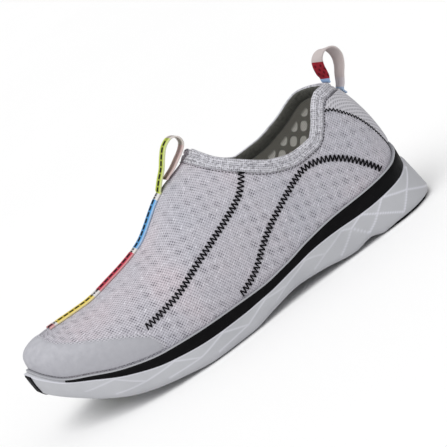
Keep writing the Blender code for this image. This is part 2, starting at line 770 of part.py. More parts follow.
def heel_loop_path(steps):
    """The heel loop's inner surface, from the tab under the binding, out and over, and back to the binding."""
    at, out, up = collar_edge()[0]
    heel = x_of(0.0)
    seat = OVERLAY_LIFT * 2.4 + OVERLAY_THICKNESS + GAP
    spots = [wall_point(LATERAL, heel, v) + wall_normal(LATERAL, heel, v) * seat for v in (0.84, 0.92)]
    foot = at + up * (BINDING_HEIGHT + GAP)
    spots += [foot + Vector((p.x, 0.0, p.z)) * LOOP_HEIGHT for p in HEEL_LOOP]
    rest = BINDING_RIB + GAP + TAPE_THICKNESS
    spots += [at + out * rest + up * BINDING_HEIGHT * rise for rise in (0.88, 0.70)]
    return list(reversed(curve_through(spots, steps)))


def heel_loop_sections(steps):
    path = heel_loop_path(steps)
    last = len(path) - 1

    def turn(i):
        return HEEL_LOOP_TWIST * min(i / (3 * steps), 1.0) * min((last - i) / (5 * steps), 1.0)

    return band_sections(path, TAPE_WIDTH, turn)


def build_heel_loop(finish):
    """The pull loop behind the collar."""
    return band("heel_loop", heel_loop_sections(2), finish, 0.0)


def bar_prism(name, spots, grow, depth, finish):
    """One rubber bar along its points, flush with the underside, which it follows."""
    plan = []
    for k in range(len(spots) - 1):
        a, b = spots[k], spots[k + 1]
        steps = max(2, round((b.x - a.x) * LAST_LENGTH / BAR_STEP) if b.x > a.x else 6)
        plan += [tuple(u + (w - u) * i / steps for u, w in zip(a[1:], b[1:])) for i in range(steps)]
    plan.append(spots[-1][1:])
    middle = [Vector((x_of(x), y * BALL_WIDTH, 0.0)) for x, y, _ in plan]
    points = []
    for i, at in enumerate(middle):
        along = (middle[min(i + 1, len(middle) - 1)] - middle[max(i - 1, 0)]).normalized()
        across = Vector((-along.y, along.x, 0.0)) * (plan[i][2] * BALL_WIDTH / 2 + grow)
        reach = along * grow * (-1 if i == 0 else 1 if i == len(middle) - 1 else 0)
        low = floor_height(at.x) - (CUT_REACH if grow else 0.0)
        high = floor_height(at.x) + depth
        for side, level in ((1, low), (1, high), (-1, high), (-1, low)):
            point = at + reach + across * side
            points.append(Vector((point.x, point.y, level)))
    return add_object(name, points, strip_faces(len(middle), 4), finish)


def join(target, other):
    """Adds the other shape to the target, and keeps it out of the build as an object of its own."""
    other.hide_render = True
    other.display_type = "WIRE"
    modifier = target.modifiers.new("join_" + other.name, "BOOLEAN")
    modifier.operation = "UNION"
    modifier.object = other


def build_bars(sole, finish):
    names = list(dict.fromkeys(row.bar for row in BARS))
    made, tools = [], []
    for name in names:
        spots = [row for row in BARS if row.bar == name]
        depth = TREAD_DEPTH - (SPINE_STEP if name == "spine" else 0.0)
        made.append(bar_prism(name, spots, 0.0, depth - GAP, finish))
        tools.append(bar_prism("recess_" + name, spots, GAP, depth, None))
    made[0].name = "forefoot_bars"
    for other in made[1:]:
        join(made[0], other)
    for tool in tools:
        cut(sole, tool)
    return made[0]


def pad_shape(name, grow, depth, finish):
    """The strike pad, flush with the underside, over the heel's back and lateral edge."""
    spots = [(MEDIAL, x_of(q * q)) for q in (0.13, 0.08, 0.04)]
    spots += [(LATERAL, x_of(q * q)) for q in (0.0, 0.05, 0.10, 0.16, 0.23, 0.31, 0.38)]
    points = []
    for i, (side, x) in enumerate(spots):
        taper = math.sin(math.pi * (i + 1.2) / (len(spots) + 1.4))
        edge = side_value("flare", x) * SOLE_FLARE - EDGE_ROUND * 2.0
        low = -CUT_REACH if grow else 0.0
        outer = edge + EDGE_ROUND * 1.35 * min(taper * 1.8, 1.0)
        inner = edge - PAD_WIDTH * taper - grow
        outer += CUT_REACH if grow else 0.0
        for offset, level in ((outer, low), (outer, depth), (inner, depth), (inner, low)):
            points.append(sole_point(side, x, offset, level))
    return add_object(name, points, strip_faces(len(spots), 4), finish)


def build_heel_pad(sole, finish):
    made = pad_shape("heel_pad", 0.0, TREAD_DEPTH - GAP, finish)
    tool = pad_shape("recess_heel_pad", GAP, TREAD_DEPTH, None)
    cut(sole, tool)
    return made


def build_holes(sole):
    """Lens-shaped recesses in rows, cut together."""
    points, faces = [], []
    for row in HOLE_ROWS:
        for i in range(row.count):
            t = i / max(row.count - 1, 1)
            x = x_of(row.x0 + (row.x1 - row.x0) * t)
            y = (row.y0 + (row.y1 - row.y0) * t) * BALL_WIDTH
            length = (row.length0 + (row.length1 - row.length0) * t) * BALL_WIDTH / 2 * HOLE_SCALE
            width = row.width * BALL_WIDTH / 2 * (0.6 + 0.4 * length / (0.055 * BALL_WIDTH))
            start = len(points)
            for level in (-CUT_REACH, row.depth * HOLE_DEPTH):
                for along, across in HOLE_OUTLINE:
                    shrink = 0.85 if level > 0 else 1.0
                    at = x + along * length * shrink
                    points.append((at, y + across * width * shrink, floor_height(at) + level))
            for k in range(6):
                m = (k + 1) % 6
                faces.append((start + k, start + m, start + 6 + m, start + 6 + k))
            faces.append(tuple(start + k for k in reversed(range(6))))
            faces.append(tuple(start + 6 + k for k in range(6)))
    tool = add_object("recess_holes", points, faces, None)
    cut(sole, tool)


def build_badge(finish):
    """The blank oval under the waist, its long axis across the shoe."""
    points = []
    count = 16
    for level in (GAP, GAP + BADGE_THICKNESS):
        for k in range(count):
            angle = 2 * math.pi * k / count
            x = BADGE_X + math.cos(angle) * BADGE_WIDTH / 2
            y = math.sin(angle) * BADGE_LENGTH / 2
            points.append((x, y, floor_height(x) - level))
    faces = [(k, (k + 1) % count, count + (k + 1) % count, count + k) for k in range(count)]
    faces.append(tuple(reversed(range(count))))
    faces.append(tuple(count + k for k in range(count)))
    return add_object("arch_badge", points, faces, finish)


def build_toe_bars(finish):
    """Ends of the two forward bars, which climb the sole's toe. Each is a strip over the toe's side."""
    for name, side, first, last, slant in (
        ("toe_bar_lateral", LATERAL, 0.9945, 0.9982, 0.0016),
        ("toe_bar_medial", MEDIAL, 0.9640, 0.9860, 0.0060),
    ):
        grid = []
        for k in range(4):
            share = first + (last - first) * k / 3
            column = []
            for row in range(6):
                x = x_of(share + slant * (1 - row / 5))
                profile = sole_profile(side, x, 0)[6:12]
                step = (profile[max(row - 1, 0)], profile[min(row + 1, 5)])
                run, fall = step[1][0] - step[0][0], step[0][1] - step[1][1]
                normal = plan_normal(side, x) * fall + Vector((0, 0, run))
                column.append((sole_point(side, x, *profile[row]), normal.normalized()))
            grid.append(column)
        slab(name, grid, finish)


for stale in list(bpy.data.objects):
    bpy.data.objects.remove(stale)

SHOE_FRAME = bpy.data.objects.new("shoe_frame", None)
SHOE_FRAME.location = (-REST_X, 0.0, 0.0)
bpy.context.scene.collection.objects.link(SHOE_FRAME)

EVA_GREY = material("eva_grey", (0.60, 0.61, 0.64), 0.6)
BLACK_RUBBER = material("black_rubber", (0.018, 0.017, 0.020), 0.55)
PAD_RUBBER = material("pad_rubber", (0.020, 0.019, 0.022), 0.60)
BADGE_GREY = material("badge_grey", (0.40, 0.41, 0.43), 0.5)
MESH_GREY = material("mesh_grey", (0.54, 0.53, 0.57), 0.85)
CAP_GREY = material("cap_grey", (0.47, 0.47, 0.50), 0.7)
TAB_GREY = material("tab_grey", (0.56, 0.55, 0.60), 0.75)
COLLAR_GREY = material("collar_grey", (0.58, 0.58, 0.62), 0.7)
BOARD_GREY = material("board_grey", (0.10, 0.105, 0.09), 0.9)
TAPE_BLUE = material("tape_blue", (0.10, 0.33, 0.68), 0.7)
LOOP_RED = material("loop_red", (0.42, 0.02, 0.05), 0.7)

SOLE = build_sole(EVA_GREY)
build_stripe(BLACK_RUBBER)
build_heel_pad(SOLE, PAD_RUBBER)
build_holes(SOLE)
build_bars(SOLE, PAD_RUBBER)
build_badge(BADGE_GREY)
build_toe_bars(PAD_RUBBER)
build_insole(BOARD_GREY)
build_upper(MESH_GREY)
build_toe_cap(CAP_GREY)
build_heel_tab(TAB_GREY)
build_binding(COLLAR_GREY)
build_vamp_tape(TAPE_BLUE)
build_heel_loop(LOOP_RED)
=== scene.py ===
"""Left water shoe: the looks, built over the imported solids.

Shapes are given in "last coordinates", as in the solids' source: x runs forward from a zero just inside the
heel's edge, HEEL_REACH from the upper's rearmost point. Each piece is shifted by REST_X when it is made.
"""

import math
from collections import namedtuple
from functools import lru_cache, reduce

import bmesh
import bpy
from mathutils import Matrix, Vector
from mathutils.bvhtree import BVHTree


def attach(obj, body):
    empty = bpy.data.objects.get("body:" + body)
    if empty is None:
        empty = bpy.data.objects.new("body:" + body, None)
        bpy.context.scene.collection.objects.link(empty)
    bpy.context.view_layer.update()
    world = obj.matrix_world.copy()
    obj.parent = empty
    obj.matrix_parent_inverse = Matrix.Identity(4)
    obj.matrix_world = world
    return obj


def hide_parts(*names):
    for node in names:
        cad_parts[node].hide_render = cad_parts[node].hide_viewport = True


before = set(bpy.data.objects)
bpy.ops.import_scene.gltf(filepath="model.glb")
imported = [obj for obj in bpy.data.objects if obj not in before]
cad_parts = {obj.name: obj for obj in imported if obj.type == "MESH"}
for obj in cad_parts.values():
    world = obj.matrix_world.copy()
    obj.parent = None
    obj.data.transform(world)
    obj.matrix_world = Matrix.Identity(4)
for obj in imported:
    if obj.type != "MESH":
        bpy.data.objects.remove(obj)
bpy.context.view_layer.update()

MM = 0.001

# Driving sizes of the last and the upper
HEEL_REACH = 5.5 * MM  # from the zero of lengths to the upper's rearmost point
LAST_LENGTH = 279.0 * MM  # upper, heel to toe along the sole's rim
BALL_WIDTH = 95.0 * MM  # upper, across the ball at the rim
INSTEP_HEIGHT = 112.0 * MM  # floor to the crest at the throat
HEEL_HEIGHT = 90.0 * MM  # floor to the top of the wall at the heel, below the binding
UPPER_WALL = 2.0 * MM
THROAT_X = 130.0 * MM  # front end of the opening in the wall

# Driving sizes of the sole
RIM_HEIGHT = 32.0 * MM  # floor to the sole's rim beside the heel
DECK_HEIGHT = 22.0 * MM  # floor to the surface that the foot's board lies on, at the heel
TOE_SPRING = 30.0 * MM  # floor to the underside of the toe's tip
ARCH_RISE = 7.0 * MM
SOLE_FLARE = 5.0 * MM  # how far the sole stands out past the upper
RIM_WALL = 2.6 * MM
SIDE_STEP = 0.4 * MM  # how far the side stands out past the rim
EDGE_ROUND = 3.0 * MM
TIP_LEDGE = 2.0 * MM  # how much farther the sole's shoulder stands out at the toe's tip
TIP_LEDGE_START = 0.95  # share of LAST_LENGTH
FACET_DEPTH = 0.8 * MM
FACET_END = 0.95  # share of LAST_LENGTH where the side's facets fade out
FACET_FADE = 8.0  # how fast they do

# Driving sizes of the pieces that are laid on
GAP = 0.3 * MM  # between pieces that meet
OVERLAY_LIFT = 0.5 * MM  # overlays above the wall, whose facets differ
OVERLAY_THICKNESS = 0.9 * MM
BINDING_HEIGHT = 8.5 * MM
BINDING_RIB = 1.3 * MM
THROAT_EASE = 1.5 * MM  # how far the binding moves back at the throat, where the wall's edge turns tightly
THROAT_TURN = 8.0 * MM  # length over which it does
STRIPE_DEPTH = 1.4 * MM
STRIPE_PROUD = 0.25 * MM
STRIPE_HEIGHT = 10.0 * MM
STRIPE_END = 0.955  # share of LAST_LENGTH
LIP_HEIGHT = 0.9 * MM
TAPE_WIDTH = 10.0 * MM
TAPE_THICKNESS = 1.1 * MM
TAPE_FRONT = 0.935  # shares of LAST_LENGTH
TAPE_BACK = 0.530
LOOP_HEIGHT = 30.0 * MM
HEEL_LOOP_TWIST = math.radians(24)
TREAD_DEPTH = 1.8 * MM
BAR_STEP = 9.0 * MM  # between the sections of a bar
SPINE_STEP = 0.3 * MM  # how much shallower the bars' spine is
CUT_REACH = 2.0 * MM  # how far cutters reach past the underside
PAD_WIDTH = 9.0 * MM
HOLE_SCALE = 1.15
HOLE_DEPTH = 3.0 * MM
REST_X = 32.0 * MM  # centre of the heel's flat spot, the model's origin
SHIFT = Vector((-REST_X, 0.0, 0.0))  # from last coordinates to the model's

# Plan of the upper at the rim. x is a share of LAST_LENGTH, the others are shares of BALL_WIDTH.
Plan = namedtuple("Plan", "x centre lateral medial")
PLAN = (
    Plan(0.000, 0.000, 0.000, 0.000),
    Plan(0.022, 0.000, 0.212, 0.200),
    Plan(0.079, 0.000, 0.322, 0.311),
    Plan(0.187, 0.000, 0.372, 0.336),
    Plan(0.314, 0.000, 0.392, 0.316),
    Plan(0.420, 0.000, 0.415, 0.325),
    Plan(0.548, 0.000, 0.468, 0.400),
    Plan(0.656, 0.000, 0.498, 0.462),
    Plan(0.746, -0.020, 0.498, 0.470),
    Plan(0.854, -0.048, 0.432, 0.404),
    Plan(0.930, -0.074, 0.318, 0.290),
    Plan(0.980, -0.084, 0.169, 0.151),
    Plan(1.000, -0.084, 0.000, 0.000),
)

# Side of the sole. Rim heights are shares of RIM_HEIGHT, deck of DECK_HEIGHT, flares of SOLE_FLARE, stripe
# of STRIPE_HEIGHT; arch is a share of ARCH_RISE and spring of TOE_SPRING.
Side = namedtuple("Side", "x rim_lateral rim_medial deck flare stripe arch spring")
SIDE = (
    Side(0.000, 1.29, 1.29, 1.00, 1.95, 1.22, 0.00, 0.000),
    Side(0.015, 1.18, 1.18, 1.00, 1.75, 1.12, 0.00, 0.000),
    Side(0.050, 1.06, 1.07, 1.00, 1.35, 1.02, 0.00, 0.000),
    Side(0.150, 0.98, 1.03, 1.00, 1.00, 1.00, 0.00, 0.000),
    Side(0.190, 0.97, 1.03, 0.98, 0.95, 0.97, 0.42, 0.000),
    Side(0.240, 0.95, 1.02, 0.95, 0.85, 0.86, 0.12, 0.000),
    Side(0.330, 0.85, 0.97, 0.85, 0.80, 0.62, 0.60, 0.000),
    Side(0.400, 0.73, 0.86, 0.74, 0.80, 0.52, 0.80, 0.000),
    Side(0.480, 0.66, 0.74, 0.65, 0.85, 0.56, 0.42, 0.000),
    Side(0.560, 0.68, 0.72, 0.61, 1.00, 0.72, 0.00, 0.000),
    Side(0.660, 0.71, 0.73, 0.61, 1.00, 0.78, 0.00, 0.000),
    Side(0.750, 0.75, 0.77, 0.68, 0.95, 0.66, 0.00, 0.095),
    Side(0.840, 0.88, 0.89, 0.86, 0.85, 0.46, 0.00, 0.245),
    Side(0.905, 1.06, 1.06, 1.10, 0.80, 0.28, 0.00, 0.494),
    Side(0.955, 1.20, 1.20, 1.35, 0.80, 0.14, 0.00, 0.770),
    Side(0.985, 1.40, 1.40, 1.52, 0.82, 0.08, 0.00, 0.960),
    Side(1.000, 1.56, 1.56, 1.60, 0.85, 0.08, 0.00, 1.080),
)

# Crest of the upper, behind the throat the last's cone above the opening. height is a share of
# INSTEP_HEIGHT; width_power and height_power round the section, and lean is the crest's place across, as a
# share of BALL_WIDTH.
Crest = namedtuple("Crest", "x height width_power height_power lean")
CREST = (
    Crest(0.000, 1.12, 1.74, 1.00, 0.000),
    Crest(0.030, 1.12, 1.38, 1.00, 0.000),
    Crest(0.080, 1.12, 1.00, 1.00, 0.000),
    Crest(0.150, 1.12, 1.00, 1.00, 0.000),
    Crest(0.300, 1.14, 1.00, 1.00, -0.010),
    Crest(0.380, 1.04, 1.07, 1.00, -0.020),
    Crest(0.440, 0.958, 1.13, 1.00, -0.030),
    Crest(0.530, 0.876, 1.17, 0.98, -0.040),
    Crest(0.640, 0.684, 1.12, 0.95, -0.050),
    Crest(0.730, 0.617, 1.05, 0.92, -0.055),
    Crest(0.820, 0.576, 1.00, 0.90, -0.065),
    Crest(0.900, 0.574, 1.00, 0.90, -0.075),
    Crest(1.000, 0.580, 1.00, 0.90, -0.084),
)

# Top edge of the wall around the opening, as shares of HEEL_HEIGHT
Topline = namedtuple("Topline", "x lateral medial")
TOPLINE = (
    Topline(0.000, 1.000, 1.000),
    Topline(0.040, 1.035, 1.010),
    Topline(0.080, 1.040, 1.005),
    Topline(0.095, 1.020, 0.990),
    Topline(0.115, 0.970, 0.965),
    Topline(0.140, 0.890, 0.930),
    Topline(0.180, 0.800, 0.890),
    Topline(0.240, 0.785, 0.850),
    Topline(0.300, 0.835, 0.845),
    Topline(0.370, 0.975, 0.960),
    Topline(0.420, 1.110, 1.090),
    Topline(0.440, 1.192, 1.192),
)
TOPLINE_BLEND = 0.60  # share of the opening's length where the edge starts to follow the crest's height

# Upper edge of the toe cap: v is how far it goes from the rim (0) to the crest (1)
CapEdge = namedtuple("CapEdge", "x v")
TOE_CAP = (
    CapEdge(0.738, 0.050),
    CapEdge(0.764, 0.190),
    CapEdge(0.827, 0.340),
    CapEdge(0.897, 0.490),
    CapEdge(0.936, 0.610),
    CapEdge(0.989, 0.880),
    CapEdge(1.000, 0.900),
)

# Side edges of the heel tab, by height: x is v there, and reach how far forward, as a share of LAST_LENGTH
TabEdge = namedtuple("TabEdge", "x reach")
HEEL_TAB = (
    TabEdge(0.040, 0.008),
    TabEdge(0.380, 0.026),
    TabEdge(0.580, 0.043),
    TabEdge(0.770, 0.074),
    TabEdge(0.970, 0.108),
)

# Rubber bars in the forefoot's medial half. x is a share of LAST_LENGTH, y and width are of BALL_WIDTH.
BarPoint = namedtuple("BarPoint", "bar x y width")
BARS = (
    BarPoint("inner_bar", 0.720, -0.012, 0.050),
    BarPoint("inner_bar", 0.955, 0.010, 0.078),
    BarPoint("second_bar", 0.655, -0.160, 0.042),
    BarPoint("second_bar", 0.720, -0.212, 0.052),
    BarPoint("second_bar", 0.935, -0.240, 0.078),
    BarPoint("third_bar", 0.585, -0.245, 0.042),
    BarPoint("third_bar", 0.650, -0.330, 0.052),
    BarPoint("third_bar", 0.830, -0.430, 0.075),
    BarPoint("edge_bar", 0.525, -0.300, 0.042),
    BarPoint("edge_bar", 0.600, -0.405, 0.052),
    BarPoint("edge_bar", 0.672, -0.462, 0.060),
    BarPoint("spine", 0.770, -0.030, 0.055),
    BarPoint("spine", 0.590, -0.400, 0.048),
)

# Recesses in the underside, in rows: each row's ends, how many, and a recess's length at each end, its width
# and its depth. x0 and x1 are shares of LAST_LENGTH, depth of HOLE_DEPTH and the rest of BALL_WIDTH.
HoleRow = namedtuple("HoleRow", "x0 y0 x1 y1 count length0 length1 width depth")
HOLE_ROWS = (
    HoleRow(0.420, 0.330, 0.760, 0.285, 6, 0.070, 0.095, 0.060, 0.83),
    HoleRow(0.390, 0.230, 0.560, 0.240, 4, 0.055, 0.090, 0.060, 0.83),
    HoleRow(0.635, 0.180, 0.860, 0.095, 4, 0.110, 0.110, 0.075, 1.00),
    HoleRow(0.400, 0.140, 0.590, 0.065, 4, 0.065, 0.100, 0.065, 0.83),
    HoleRow(0.640, 0.025, 0.700, -0.080, 2, 0.110, 0.100, 0.075, 1.00),
    HoleRow(0.380, 0.030, 0.590, -0.100, 5, 0.060, 0.105, 0.070, 0.83),
    HoleRow(0.810, -0.115, 0.880, -0.120, 2, 0.110, 0.110, 0.075, 1.00),
    HoleRow(0.390, -0.110, 0.510, -0.195, 3, 0.060, 0.100, 0.065, 0.83),
    HoleRow(0.035, -0.130, 0.255, 0.020, 5, 0.140, 0.075, 0.095, 0.67),
    HoleRow(0.100, -0.235, 0.275, -0.085, 4, 0.130, 0.075, 0.090, 0.67),
    HoleRow(0.060, 0.090, 0.255, 0.150, 4, 0.140, 0.075, 0.090, 0.67),
)

HEEL_SPINE_X = 0.20  # share of LAST_LENGTH where the heel's fan of sections meets
TOE_SPINE_X = 0.90  # the same for the toe's
SPINE_PULL = 0.30  # how much of a section's distance past there the spine still follows
QUARTER_BULGE = 2.0 * MM

REAR_STATIONS = 60
FRONT_STATIONS = 84
WALL_ROWS = 40

LATERAL, MEDIAL = 1.0, -1.0


def smooth(rows, name, at):
    """A named column of a table at that x, by cubic pieces that don't overshoot its rows."""
    keys = [row.x for row in rows]
    values = [getattr(row, name) for row in rows]
    if at <= keys[0]:
        return values[0]
    if at >= keys[-1]:
        return values[-1]
    i = next(k for k in range(len(keys) - 1) if at <= keys[k + 1])
    slopes = [
        (values[k + 1] - values[k]) / (keys[k + 1] - keys[k])
        for k in range(len(keys) - 1)
    ]

    def tangent(k):
        if k == 0 or k == len(keys) - 1:
            return slopes[0] if k == 0 else slopes[-1]
        a, b = slopes[k - 1], slopes[k]
        return 0.0 if a * b <= 0 else 2 * a * b / (a + b)

    span = keys[i + 1] - keys[i]
    s = (at - keys[i]) / span
    return (
        values[i] * (1 + 2 * s) * (1 - s) ** 2
        + tangent(i) * span * s * (1 - s) ** 2
        + values[i + 1] * s * s * (3 - 2 * s)
        + tangent(i + 1) * span * s * s * (s - 1)
    )


def round_share(share):
    """A share of the length as an even angle, so that widths taken over it close with round ends."""
    return math.acos(1 - 2 * min(max(share, 0.0), 1.0)) / math.pi


ROUND_PLAN = tuple(row._replace(x=round_share(row.x)) for row in PLAN)


def share_of(x):
    return (x - HEEL_REACH) / LAST_LENGTH


def x_of(share):
    return HEEL_REACH + share * LAST_LENGTH


@lru_cache(maxsize=None)
def plan_point(side, x):
    """The upper's plan at the rim, at length x on one side."""
    share = round_share(share_of(x))
    half = smooth(ROUND_PLAN, "lateral" if side > 0 else "medial", share)
    return Vector((x, (smooth(ROUND_PLAN, "centre", share) + side * half) * BALL_WIDTH, 0.0))


@lru_cache(maxsize=None)
def plan_normal(side, x):
    """Outward normal of the plan there."""
    step = 1e-3 * LAST_LENGTH
    start, end = x_of(0.0), x_of(1.0)
    if x - start < 1e-4 * LAST_LENGTH:
        return Vector((-1.0, 0.0, 0.0))
    if end - x < 1e-4 * LAST_LENGTH:
        return Vector((1.0, 0.0, 0.0))
    step = min(step, (x - start) / 2, (end - x) / 2)
    along = plan_point(side, x + step) - plan_point(side, x - step)
    return Vector((-along.y, along.x, 0.0)).normalized() * side


@lru_cache(maxsize=None)
def side_value(name, x):
    return smooth(SIDE, name, share_of(x))


def rim_height(side, x):
    return side_value("rim_lateral" if side > 0 else "rim_medial", x) * RIM_HEIGHT


def deck_height(x):
    return side_value("deck", x) * DECK_HEIGHT


def floor_height(x):
    """Underside of the sole: flat at heel and ball, raised at the arch and the toe."""
    return side_value("arch", x) * ARCH_RISE + side_value("spring", x) * TOE_SPRING


def spine_point(x):
    """Where the section through x ends on the crest, and how high the crest is there."""
    share = share_of(x)
    if share < HEEL_SPINE_X:
        share = HEEL_SPINE_X + (share - HEEL_SPINE_X) * SPINE_PULL
    if share > TOE_SPINE_X:
        share = TOE_SPINE_X + (share - TOE_SPINE_X) * SPINE_PULL
    return Vector(
        (
            x_of(share),
            smooth(CREST, "lean", share) * BALL_WIDTH,
            smooth(CREST, "height", share) * INSTEP_HEIGHT,
        )
    )


def top_height(side, x):
    """Height of the wall's top edge behind the throat, where it comes up to the crest."""
    end = TOPLINE[-1]
    share = share_of(x) * end.x / share_of(THROAT_X)
    near = min(max((share / end.x - TOPLINE_BLEND) / (1 - TOPLINE_BLEND), 0.0), 1.0)
    meet = spine_point(THROAT_X).z / (end.lateral * HEEL_HEIGHT)
    height = smooth(TOPLINE, "lateral" if side > 0 else "medial", share) * HEEL_HEIGHT
    return height * (1 + (meet - 1) * near)


def top_angle(side, x, foot, crest):
    """How far round its quarter turn the section goes before the opening cuts it."""
    if x >= THROAT_X - 1e-9:
        return math.pi / 2
    top = top_height(side, x)
    power = smooth(CREST, "height_power", share_of(x))
    rise = min(max((top - foot) / (crest - foot), 0.0), 1.0)
    return math.asin(rise ** (1 / power))


@lru_cache(maxsize=None)
def section(side, x):
    """What the wall's section through x needs: foot, crest, angle at its top, powers, bulge."""
    share = share_of(x)
    foot = plan_point(side, x).copy()
    foot.z = rim_height(side, x)
    crest = spine_point(x)
    bulge = plan_normal(side, x) * QUARTER_BULGE * math.sin(math.pi / 2 * min(share / HEEL_SPINE_X, 1.0))
    powers = smooth(CREST, "width_power", share), smooth(CREST, "height_power", share)
    return foot, crest, top_angle(side, x, foot.z, crest.z), powers, bulge


def wall_point(side, x, v):
    """The wall's outer surface in the section through x: v is 0 at the rim and 1 at the crest or opening."""
    foot, crest, top, (width_power, height_power), bulge = section(side, x)
    angle = top * v
    inward = 1 - max(math.cos(angle), 0.0) ** width_power
    upward = math.sin(angle) ** height_power if v > 0 else 0.0
    point = foot.lerp(crest, inward)
    point.z = foot.z + (crest.z - foot.z) * upward
    return point + bulge * math.sin(2 * angle) ** 2


def wall_normal(side, x, v):
    """Outward normal of the wall's outer surface."""
    low, high = x_of(0.0), x_of(1.0)
    step = 0.004 * LAST_LENGTH
    v0, v1 = max(v - 0.02, 0.0), min(v + 0.02, 1.0)
    up = wall_point(side, x, v1) - wall_point(side, x, v0)
    if x - low < 1e-6 or high - x < 1e-6:
        inner = min(max(x, low + step / 4), high - step / 4)
        across = wall_point(LATERAL, inner, v) - wall_point(MEDIAL, inner, v)
        return up.cross(across).normalized() * (1.0 if x - low < 1e-6 else -1.0)
    x0, x1 = max(x - step, low), min(x + step, high)
    along = wall_point(side, x1, v) - wall_point(side, x0, v)
    return up.cross(along).normalized() * side


def stations():
    """Lengths of the sections, closer together where the outline turns."""
    rear = [
        x_of(0.0) + (THROAT_X - x_of(0.0)) * (1 - math.cos(math.pi * i / REAR_STATIONS)) / 2
        for i in range(REAR_STATIONS)
    ]
    front = [
        THROAT_X + (x_of(1.0) - THROAT_X) * math.sin(math.pi / 2 * i / FRONT_STATIONS)
        for i in range(FRONT_STATIONS + 1)
    ]
    return rear + front


STATIONS = stations()


def around():
    """(side, x) of each column, from the heel along the lateral side to the toe and back."""
    lateral = [(LATERAL, x) for x in STATIONS]
    medial = [(MEDIAL, x) for x in reversed(STATIONS[1:-1])]
    return lateral + medial


COLUMNS = around()


def strip_faces(columns, rows):
    """Quads of a closed-section loft that doesn't close on itself, with its two end caps."""
    faces = []
    for i in range(columns - 1):
        for j in range(rows):
            k = (j + 1) % rows
            faces.append((i * rows + j, i * rows + k, (i + 1) * rows + k, (i + 1) * rows + j))
    faces.append(tuple(reversed(range(rows))))
    faces.append(tuple((columns - 1) * rows + j for j in range(rows)))
    return faces


def grid_faces(columns, rows):
    """Quads of an open sheet."""
    quads = []
    for i in range(columns - 1):
        for j in range(rows - 1):
            a, b = i * rows + j, (i + 1) * rows + j
            quads.append((a, b, b + 1, a + 1))
    return quads


def rod_faces(start, layers, count):
    """Quads and end caps of a rod whose rings of count points begin at start."""
    faces = []
    for first in range(start, start + (layers - 1) * count, count):
        for k in range(count):
            a, b = first + k, first + (k + 1) % count
            faces.append((a, b, b + count, a + count))
    last = start + (layers - 1) * count
    return faces + [tuple(range(start + count - 1, start - 1, -1)), tuple(range(last, last + count))]


def stripe_size(x):
    """Height and depth of the groove for the black stripe, which fades out at the toe."""
    height = side_value("stripe", x) * STRIPE_HEIGHT
    return height, STRIPE_DEPTH * min(1.0, height / (0.3 * STRIPE_HEIGHT))


SoleLevels = namedtuple(
    "SoleLevels", "rim under flare depth groove_top groove_low shoulder low edge side_top"
)


def sole_levels(side, x):
    """Heights and offsets of the sole's section at one column."""
    rim = rim_height(side, x)
    under = floor_height(x)
    flare = side_value("flare", x) * SOLE_FLARE
    height, depth = stripe_size(x)
    groove_top = rim - LIP_HEIGHT
    groove_low = groove_top - height
    shoulder = groove_low - LIP_HEIGHT
    low = under + EDGE_ROUND * 1.6
    tip = max(share_of(x) - TIP_LEDGE_START, 0.0) / (1 - TIP_LEDGE_START)
    edge = RIM_WALL + SIDE_STEP + TIP_LEDGE * tip
    side_top = max(edge, flare * 0.50)
    return SoleLevels(rim, under, flare, depth, groove_top, groove_low, shoulder, low, edge, side_top)


def side_profile(side, x):
    """(offset, height) down a facet of the sole's side, from the groove's lower edge to the underside."""
    levels = sole_levels(side, x)
    flare, under = levels.flare, levels.under
    wave = FACET_DEPTH * min(1.0, max(0.0, (FACET_END - share_of(x)) * FACET_FADE))
    return (
        (levels.edge, levels.groove_low),
        (levels.side_top, levels.shoulder),
        ((levels.side_top + flare) / 2 - wave, (levels.low + levels.shoulder) / 2 - wave),
        (flare + wave * 0.5, levels.low),
        (flare - EDGE_ROUND * 0.8, under + EDGE_ROUND * 0.3),
        (flare - EDGE_ROUND * 2.0, under),
    )


def sole_point(side, x, offset, height):
    point = plan_point(side, x) + plan_normal(side, x) * offset
    point.z = height
    return point


def collar_edge():
    """(point, outward normal, upward direction) round the top edge of the wall."""
    rear = [x for x in STATIONS if x < THROAT_X - 1e-9]
    order = [(LATERAL, x) for x in rear] + [(LATERAL, THROAT_X)]
    order += [(MEDIAL, x) for x in reversed(rear[1:])]
    edge = [wall_point(side, x, 1.0) for side, x in order]
    frames = []
    for i, (side, x) in enumerate(order):
        along = (edge[(i + 1) % len(edge)] - edge[i - 1]).normalized()
        face = wall_normal(side, x, 0.97)
        if x == THROAT_X:
            face += wall_normal(-side, x, 0.97)
        up = along.cross(face).normalized()
        ease = THROAT_EASE * max(0.0, 1 - (THROAT_X - x) / THROAT_TURN)
        frames.append((edge[i] + up * ease, up.cross(along).normalized(), up))
    return frames


def crest_section(x):
    """Five (point, normal) across the crest, as wide as the tape."""
    middle = wall_point(LATERAL, x, 1.0)
    spots = []
    places = ((LATERAL, 0.5), (LATERAL, 0.25), (LATERAL, 0.0), (MEDIAL, 0.25), (MEDIAL, 0.5))
    for side, reach in places:
        low, high = 0.0, 1.0
        for _ in range(18):
            v = (low + high) / 2
            if (wall_point(side, x, v) - middle).length > reach * TAPE_WIDTH:
                low = v
            else:
                high = v
        spots.append((wall_point(side, x, high), wall_normal(side, x, min(high, 0.985))))
    mean = (wall_normal(LATERAL, x, 0.985) + wall_normal(MEDIAL, x, 0.985)).normalized()
    spots[2] = (middle, mean)
    return spots


